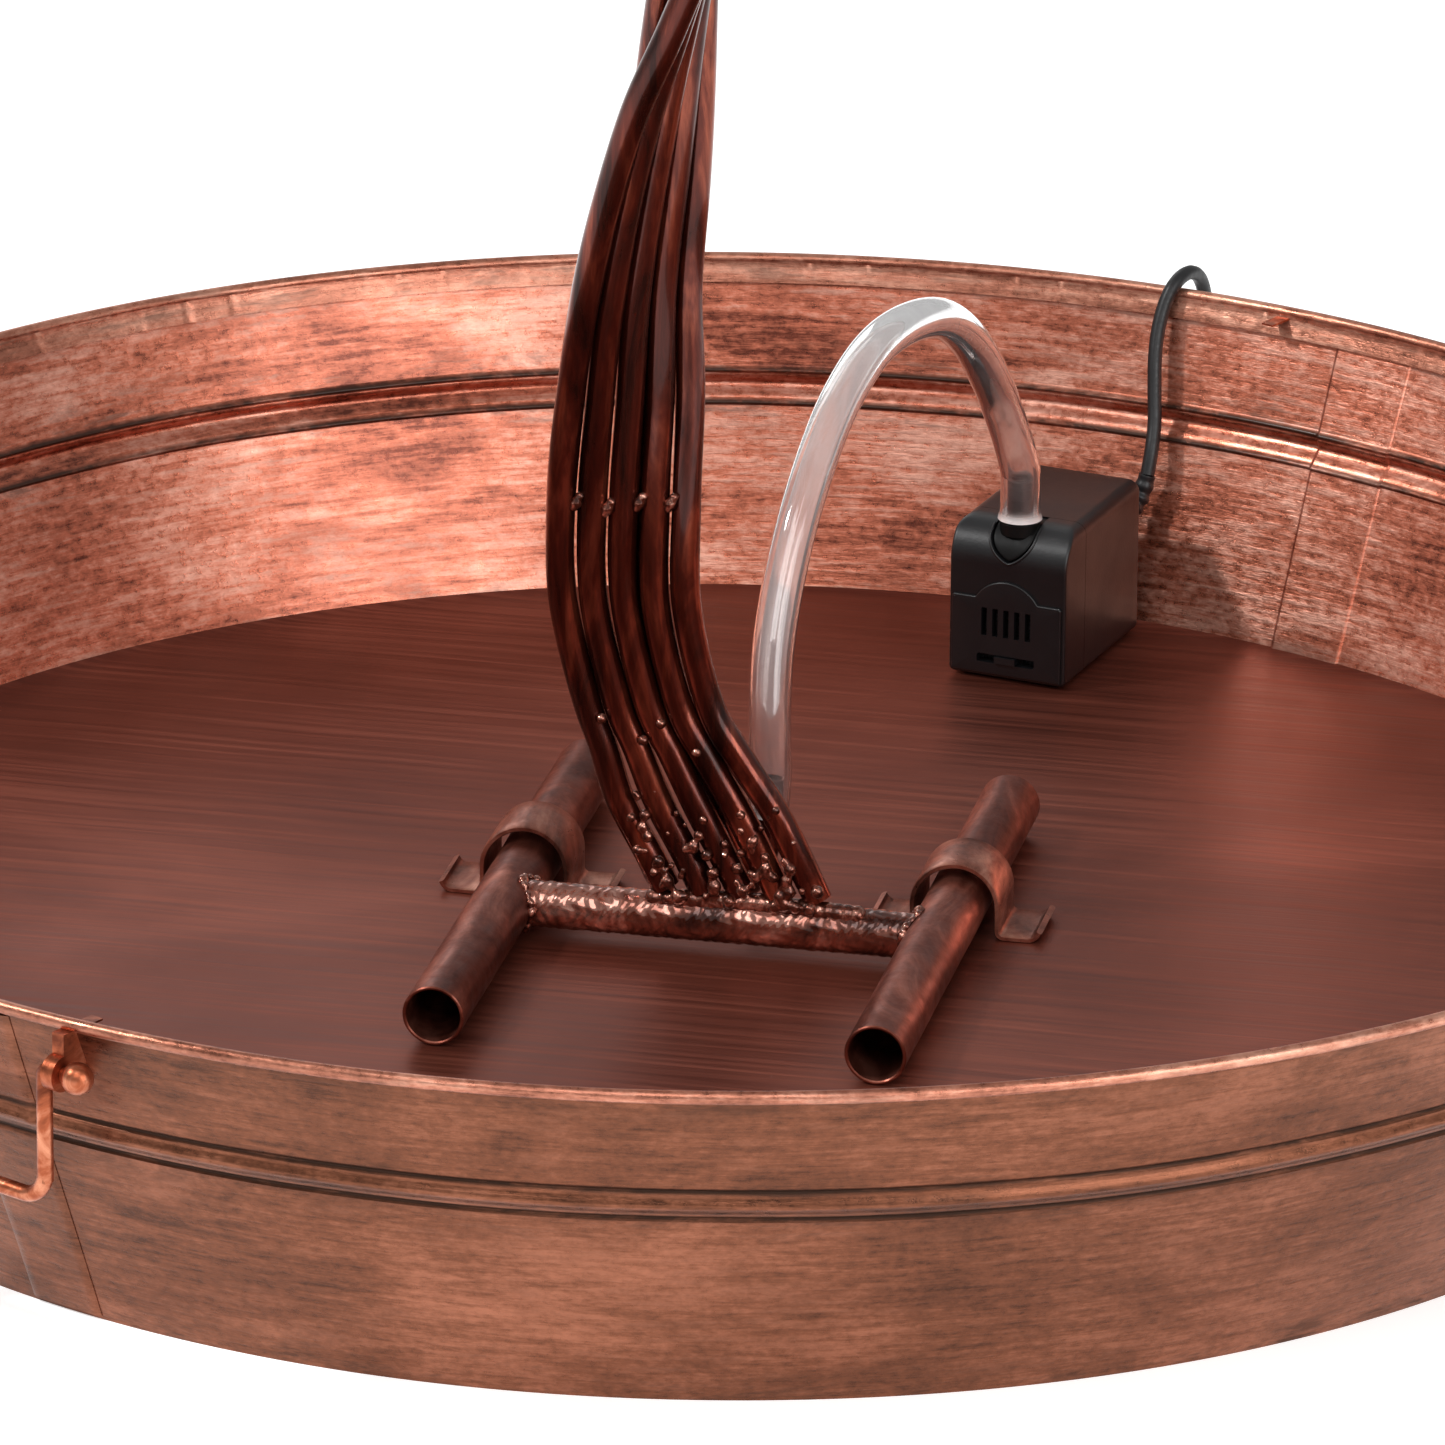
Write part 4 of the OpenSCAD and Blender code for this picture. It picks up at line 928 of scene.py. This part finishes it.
def foot_weld_drops():
    """Drops scattered over the fan of rod feet, thick at the cross tube and thinning upwards."""
    chance, count = np.random.default_rng(7), 84
    up = chance.beta(1.0, 2.2, count)
    z = (23.5 + 34 * up) * MM
    rows = np.array([[height / MM,
                      *[np.interp(height / MM, trunk_rows[:, 0], trunk_rows[:, c]) for c in (1, 2, 3)]]
                      for height in z])
    along = chance.uniform(-2.25, 2.25, count) * rod_pitch
    face = -(2.6 + 1.6 * (1 - up)) * MM
    points = ribbon(rows, 0.0, 0.0)
    points[:, 0] += along * rows[:, 2]
    points[:, 1] += face
    return points, chance.uniform(0.8, 1.9, count) * (1.1 - 0.35 * up) * MM


weld_bronze = lacquered_copper("weld_bronze", (0.05, 0.014, 0.009), (0.20, 0.06, 0.036), (0.80, 0.42, 0.32),
                               0.14, 0.6, (340, 340, 340))
foot_drops, foot_radii = foot_weld_drops()
fillet_x = np.linspace(-17, 36, 22)
fillet = np.stack([fillet_x * MM, np.full(22, -1.5 * MM), (23.2 - 0.04 * np.abs(fillet_x - 8)) * MM], -1)
foot_weld = lumps("foot_weld", np.vstack([foot_drops, fillet]),
                  np.concatenate([foot_radii, np.full(22, 2.9 * MM)]))
dress(foot_weld, weld_bronze, "stand", "weld_copper", "base_weld")

tack_points, tack_radii = [], []
for k in range(4):
    spot = ribbon(trunk_rows[6:7], (k - 1.5) * rod_pitch,
                  -2.6 * MM)[0] + np.array([0, 0, -1.5 * MM if k == 1 else 0])
    for step, r in ((0, 1.7), (2.2, 1.3), (-1.8, 1.2)):
        tack_points.append(spot + np.array([0.4 * MM * step, 0, step * MM * 0.8]))
        tack_radii.append(r * MM)
for x, z in ((-15.5, 71), (-20, 66), (-31, 71), (-6, 64)):
    tack_points.append(MM * np.array([x, -3.2, z]))
    tack_radii.append(1.5 * MM)
tacks = lumps("tack_welds", tack_points, tack_radii)
dress(tacks, weld_bronze, "stand", "weld_copper", "bundle_welds")

collar_points, collar_radii = [], []
for side in (-1, 1):
    for turn in np.radians(np.arange(-60, 241, 20)):
        reach = cross_r + 0.4 * MM
        bulge = math.sqrt(max(0.0, runner_r ** 2 - (reach * math.sin(turn)) ** 2))
        collar_points.append([side * (runner_x - bulge - 0.4 * MM), reach * math.cos(turn),
                              cross_z + reach * math.sin(turn)])
        collar_radii.append((1.3 + 0.35 * math.sin(5 * turn + side)) * MM)
collars = lumps("cross_tube_welds", collar_points, collar_radii)
dress(collars, weld_bronze, "stand", "weld_copper", "runner_welds")


# ---------------------------------------------------------------------------
# Leaf cups: six pointed dishes beaten from copper sheet, bent across their width
# and chased with veins. The riser comes up through the top one; water spills off
# the tips from leaf to leaf and into the tub.
leaf_half = 75 * MM
leaf_half_w = 42 * MM
leaf_bend_r = 80 * MM
leaf_t = 1.2 * MM


def leaf_rows(stations=120, columns=44):
    """Half-width w(u) of two arcs with a scalloped edge; height of a bend of leaf_bend_r, with veins."""
    u = np.linspace(-0.9985, 0.9985, stations)[:, None] * leaf_half
    edge_r = (leaf_half ** 2 + leaf_half_w ** 2) / (2 * leaf_half_w)
    w = np.sqrt(edge_r ** 2 - u ** 2) - (edge_r - leaf_half_w)
    w = w * (1 - 0.035 * (0.5 + 0.5 * np.cos(u * 900)))
    v = np.linspace(-1, 1, columns)[None]
    y = v * w
    bend = leaf_bend_r - np.sqrt(leaf_bend_r ** 2 - y ** 2)
    vein = np.exp(-(y / (1.1 * MM)) ** 2)
    side_vein = np.exp(-(np.sin((u - 0.9 * np.abs(y)) * 285) / 0.16) ** 2) * np.clip(1 - np.abs(v), 0,
            1) * np.clip(np.abs(y) / (3 * MM), 0, 1)
    chase = 0.55 * MM * vein + 0.42 * MM * side_vein
    beaten = 0.1 * MM * np.sin(u * 1300 + 4 * v) * np.sin(y * 1500)
    low = np.stack(np.broadcast_arrays(u, y, bend + chase + beaten), -1)
    high = low + np.array([0, 0, leaf_t])
    return np.concatenate([low, high[:, ::-1]], axis=1)


def tipped(rows, tilt, turn, origin):
    """Rows tipped about Y by tilt, then turned about Z and moved."""
    c, s = math.cos(tilt), math.sin(tilt)
    return turned(rows @ np.array([[c, 0, -s], [0, 1, 0], [s, 0, c]]), turn, origin)


leaf_copper = copper_patina("leaf_copper", (0.80, 0.41, 0.29), (0.50, 0.19, 0.115), (0.22, 0.075, 0.045),
                            0.8, 0.3)
leaf_tilt = math.radians(6)
for k, place in enumerate(leaf_places):
    rows = tipped(leaf_rows(), leaf_tilt, math.radians(place[0]), leaf_centre(place))
    dress(grid_piece(f"leaf_{k + 1}", rows, caps=True, crease=60), leaf_copper, "stand", "leaf_copper",
          f"leaf_cup_{k + 1}")
top_leaf = grid_piece("leaf_top", turned(leaf_rows(), math.radians(35), (0, 0, crown_z)), caps=True,
                      crease=60)
dress(top_leaf, leaf_copper, "stand", "leaf_copper", "top_leaf_cup")
wear("leaf_welds", weld_bronze)


# ---------------------------------------------------------------------------
# Pump: a black moulded case with a pull-off front cover whose top edge is a wide
# round nose. An arched panel with the inlet slots stands proud of its lower half;
# the ribbed nozzle rises from a shield-shaped seat let into the nose.
pump_half_w = 17 * MM
pump_low, pump_high = 1 * MM, 44 * MM
pump_front, cover_back, pump_back = -26.5 * MM, -12.5 * MM, 26.5 * MM
pump_corner, nose_r = 3.5 * MM, 11 * MM
pump_mid = np.array([0, 20 * MM])


def even_loop(points, count):
    """A closed loop of (x, z) points resampled to count even steps."""
    loop = np.vstack([points, points[:1]])
    walk = walked(loop)
    even = np.linspace(0, walk[-1], count, endpoint=False)
    return np.stack([np.interp(even, walk, loop[:, 0]), np.interp(even, walk, loop[:, 1])], -1)


def shrink(loop, inset):
    """An anticlockwise loop moved inwards along its normals."""
    ahead = np.roll(loop, -1, 0) - np.roll(loop, 1, 0)
    ahead /= np.linalg.norm(ahead, axis=1)[:, None]
    return loop + inset * np.stack([-ahead[:, 1], ahead[:, 0]], -1)


def case_outline(inset, count=240):
    """The case seen from the front: a rectangle with 3.5 mm upper and 1.5 mm lower corners."""
    half, low, high = pump_half_w - inset, pump_low + inset, pump_high - inset
    big, small = max(pump_corner - inset, 0.4 * MM), max(1.5 * MM - inset, 0.3 * MM)
    arcs = []
    for cx, cz, r, start in ((half - big, high - big, big, 0), (-half + big, high - big, big, 90),
                             (-half + small, low + small, small, 180),
                             (half - small, low + small, small, 270)):
        a = np.radians(start + np.linspace(0, 90, 12))
        arcs.append(np.stack([cx + r * np.cos(a), cz + r * np.sin(a)], -1))
    return even_loop(np.vstack(arcs), count)


def nose_y(z, inset=0.0):
    """Y of the cover's front at height z: upright, then a quarter-round of nose_r, less the inset."""
    r = nose_r - inset
    over = np.clip(z - (pump_high - nose_r), 0, r * 0.9995)
    return pump_front + inset + r - np.sqrt(r ** 2 - over ** 2)


def solid(name, rings):
    """A closed shell from rings that shrink to a point at both ends, placed on the pump."""
    piece = grid_piece(name, turned(np.array(rings), pump_turn, pump_at), crease=32, weld=True)
    shell = bmesh.new()
    shell.from_mesh(piece.data)
    bmesh.ops.recalc_face_normals(shell, faces=shell.faces)
    shell.to_mesh(piece.data)
    shell.free()
    return piece


def ring_at(loop, y):
    return np.stack([loop[:, 0], np.broadcast_to(y, (len(loop),)), loop[:, 1]], -1)


def cover_block(name, inset, back, edge):
    """Rings from the middle of the back over the sides and the rounded edge to the middle of the face."""
    outline = case_outline(inset)
    rings = [ring_at(pump_mid + (outline - pump_mid) * s, back) for s in (0, 0.5, 1)]
    for s in np.linspace(0.1, 1, 9):
        rings.append(ring_at(outline, back + s * (nose_y(outline[:, 1], inset) + edge - back)))
    for a in np.radians(np.linspace(15, 90, 6)):
        loop = case_outline(inset + edge * (1 - math.cos(a)))
        rings.append(ring_at(loop, nose_y(loop[:, 1], inset) + edge * (1 - math.sin(a))))
    for t in np.linspace(0.05, 1, 44):
        loop = pump_mid + (case_outline(inset + edge) - pump_mid) * (1 - t * t)
        rings.append(ring_at(loop, nose_y(loop[:, 1], inset)))
    return solid(name, rings)


def plate(name, loop, centre, back, front, edge):
    """A flat plate with the loop for its outline and its front edge rounded."""
    rings = [ring_at(centre + (loop - centre) * s, back) for s in (0, 1)]
    rings += [ring_at(shrink(loop, edge * (1 - math.cos(a))), front + edge * (1 - math.sin(a)))
              for a in np.radians(np.linspace(0, 90, 5))]
    last = shrink(loop, edge)
    return solid(name, rings + [ring_at(centre + (last - centre) * s, front) for s in (0.6, 0)])


def box_loop(x_lo, x_hi, z_lo, z_hi):
    return even_loop(MM * np.array([[x_lo, z_lo], [x_hi, z_lo], [x_hi, z_hi], [x_lo, z_hi]], float), 40)


def shield_loop(gap):
    """The nozzle's seat: sides 6.2 mm from the middle, then half-width 6.2 (1 - t^1.8)^0.75 to the tip."""
    t = np.concatenate([np.linspace(0, 0.9, 24), np.linspace(0.91, 1, 8)])
    half, z = 6.2 * (1 - t ** 1.8) ** 0.75, 41.4 - 7 * t
    left = np.column_stack([-half, z])
    right = np.column_stack([half[-2::-1], z[-2::-1]])
    return shrink(even_loop(MM * np.vstack([[[-6.2, 45]], left, right, [[6.2, 45]]]), 160), gap)


def carve(piece, operation, cutters):
    """Joins or cuts away solids one after another."""
    for cutter in cutters:
        step = piece.modifiers.new("cut", "BOOLEAN")
        step.operation, step.solver, step.object = operation, "EXACT", cutter
        with bpy.context.temp_override(object=piece, active_object=piece):
            bpy.ops.object.modifier_apply(modifier=step.name)
        bpy.data.objects.remove(cutter)
    piece.data.shade_smooth()
    piece.data.set_sharp_from_angle(angle=math.radians(32))


pump_black = plain_material("pump_black", (0.005, 0.005, 0.006), 0.34, Specular_IOR_Level=0.5)
moulding = noise(pump_black, (1400, 1400, 1400), 3, 0.6)
link(pump_black, ramp(pump_black, noise(pump_black, (60, 60, 60), 4), [(0.3, 0.3), (0.7, 0.42)]),
     "Roughness")
relief(pump_black, moulding, 0.18, 0.0002)
arch_turn = np.radians(np.linspace(30.3, 149.7, 30))
arch = np.stack([10.5 * np.cos(arch_turn), 18.5 + 10.5 * np.sin(arch_turn)], -1)
panel_loop = even_loop(MM * np.vstack([[[-16, 2], [16, 2], [16, 23.2], [15.4, 23.8]], arch,
                                       [[-15.4, 23.8], [-16, 23.2]]]), 260)
panel = plate("panel", panel_loop, MM * np.array([0, 14]), pump_front + 1 * MM, pump_front - 0.8 * MM,
              0.4 * MM)
cutters = [cover_block("hollow", 2 * MM, cover_back + 1 * MM, 0.3 * MM),
           plate("notch", shield_loop(0), MM * np.array([0, 40]), cover_back + 1 * MM, pump_front - 2 * MM,
                 0.1 * MM),
           plate("window", box_loop(-8.4, 8.4, 5.3, 7.7), MM * np.array([0, 6.5]), pump_front + 3 * MM,
                 pump_front - 2 * MM, 0.1 * MM)]
for k in range(-2, 3):
    cutters.append(plate("slot", box_loop(3.2 * k - 0.8, 3.2 * k + 0.8, 13, 21),
                         MM * np.array([3.2 * k, 17]),
                         pump_front + 3 * MM, pump_front - 2 * MM, 0.1 * MM))
cover = cover_block("front_cover", 0.0, cover_back, 0.8 * MM)
carve(cover, "UNION", [panel])
carve(cover, "DIFFERENCE", cutters)
lip_loop = shield_loop(-0.4 * MM)
lip_loop = lip_loop[lip_loop[:, 1] < 43.2 * MM]
lip = tube_rows(np.column_stack([lip_loop[:, 0], nose_y(lip_loop[:, 1]) + 0.05 * MM, lip_loop[:, 1]]),
                0.4 * MM, 10)
lip = grid_piece("notch_lip", turned(lip, pump_turn, pump_at), caps=True)
dress(join("front_cover", [cover, lip]), pump_black, "pump_cover", "pump_black", "pump_cover")


def case_rows():
    """From the open front edge back over rounded rear edges, then forward inside the cavity."""
    outline = case_outline(0.0)
    rings = [ring_at(outline, y) for y in np.linspace(cover_back + 0.15 * MM, pump_back - 1.5 * MM, 12)]
    for a in np.radians(np.linspace(15, 90, 6)):
        rings.append(ring_at(case_outline(1.5 * MM * (1 - math.cos(a))),
                             pump_back - 1.5 * MM * (1 - math.sin(a))))
    back = case_outline(1.5 * MM)
    rings += [ring_at(pump_mid + (back - pump_mid) * s, pump_back) for s in np.linspace(0.9, 0, 8)]
    inner = case_outline(2 * MM)
    rings += [ring_at(pump_mid + (inner - pump_mid) * s, pump_back - 2 * MM) for s in (0, 1)]
    rings.append(ring_at(inner, cover_back + 0.15 * MM))
    return np.array(rings)


case = grid_piece("case_shell", turned(case_rows(), pump_turn, pump_at), along=True, crease=32, weld=True)
dress(case, pump_black, "tub", "pump_black", "pump_case")


def nozzle_profile():
    """Collar, neck and three barbs, from the collar's foot to the tip and back down the bore."""
    barbs = []
    for z in (47.6, 50.8, 54):
        barbs += [(3.72, z - 0.05), (4.0, z + 0.25), (3.72, z + 2.0)]
    points = [(5.5, 41), (5.5, 44.2), (5.2, 44.6), (3.8, 44.8)] + barbs + [(3.2, 56), (2.5, 56),
                                                                           (2.5, 41.6)]
    return MM * np.array(points)


nozzle_rows = lathe_rows(nozzle_profile(), 64) + np.array([0, nozzle_y, 0])
nozzle = grid_piece("hose_nozzle", turned(nozzle_rows, pump_turn, pump_at), along=True, crease=30)
seat_loop = shield_loop(0.35 * MM)
seat_mid = MM * np.array([0, 40])
seat_rings = [ring_at(seat_mid + (seat_loop - seat_mid) * s, cover_back - 0.1 * MM) for s in (0, 1)]
for inset, sink in ((0, 1.0), (0, 0.7), (0.15, 0.5), (0.4, 0.4)):
    loop = shrink(seat_loop, inset * MM)
    loop[:, 1] = np.minimum(loop[:, 1], pump_high - 0.4 * MM)
    seat_rings.append(ring_at(loop, nose_y(loop[:, 1]) + sink * MM))
for s in np.linspace(0.92, 0, 14):
    loop = seat_mid + (shrink(seat_loop, 0.4 * MM) - seat_mid) * s
    loop[:, 1] = np.minimum(loop[:, 1], pump_high - 0.4 * MM)
    seat_rings.append(ring_at(loop, nose_y(loop[:, 1]) + 0.4 * MM))
seat_rings = [np.column_stack([r[:, 0], r[:, 1], np.minimum(r[:, 2], pump_high - 0.4 * MM)])
              for r in seat_rings]
nozzle = join("hose_nozzle", [nozzle, solid("seat", seat_rings)])
nozzle_black = plain_material("nozzle_black", (0.003, 0.003, 0.003), 0.5, Specular_IOR_Level=0.2)
link(nozzle_black, ramp(nozzle_black, noise(nozzle_black, (300, 300, 300), 4), [(0.3, 0.42), (0.7, 0.6)]),
     "Roughness")
dress(nozzle, nozzle_black, "tub", "pump_black", "outlet_nozzle")

rubber_soft = plain_material("rubber_soft", (0.02, 0.02, 0.021), 0.55)
relief(rubber_soft, noise(rubber_soft, (800, 800, 800), 2), 0.15, 0.0002)
pad_profile = MM * np.array([(0, 1), (3.8, 1), (4.0, 0.8), (4.4, 0.2), (4.3, 0.0), (2.2, 0.0), (1.8, 0.3),
                             (0, 0.3)])
pads = []
for x in (-11, 11):
    for y in (-18.5, 18.5):
        pad = lathe_rows(pad_profile, 32) + MM * np.array([x, y, 0])
        pads.append(grid_piece("rubber_pad", turned(pad, pump_turn, pump_at), weld=True))
dress(join("rubber_pads", pads), rubber_soft, "tub", "rubber_black", "pump_feet")

wear("flow_gate", pump_black)
wear("volute", pump_black)
wear("shaft_bush", rubber_soft)


# ---------------------------------------------------------------------------
# Works of the pump: stator potted in resin, a ferrite rotor with a moulded
# impeller on a ground ceramic shaft, and a foam block behind the inlet slots.
def speckled(name, colour, roughness, metallic, scale, spread):
    """A body colour with a fine speckle of lighter and darker grains."""
    mat = plain_material(name, colour, roughness, metallic)
    grain = noise(mat, (scale, scale, scale), 3, 0.6)
    dark, light = tuple(c * (1 - spread) for c in colour), tuple(min(1, c * (1 + spread)) for c in colour)
    link(mat, ramp(mat, grain, [(0.35, dark), (0.65, light)]), "Base Color")
    relief(mat, grain, 0.3, 0.0003)
    return mat


wear("motor_core", speckled("potting_resin", (0.03, 0.03, 0.034), 0.25, 0.0, 400, 0.3))
wear("rotor_magnet", speckled("ferrite", (0.08, 0.08, 0.085), 0.5, 0.4, 1500, 0.3))
wear("impeller", speckled("impeller_white", (0.8, 0.8, 0.77), 0.4, 0.0, 600, 0.06))
wear("rotor_shaft", speckled("ceramic", (0.86, 0.84, 0.8), 0.15, 0.0, 900, 0.04))
wear("inlet_foam", speckled("foam", (0.05, 0.05, 0.055), 0.95, 0.0, 1800, 0.7))
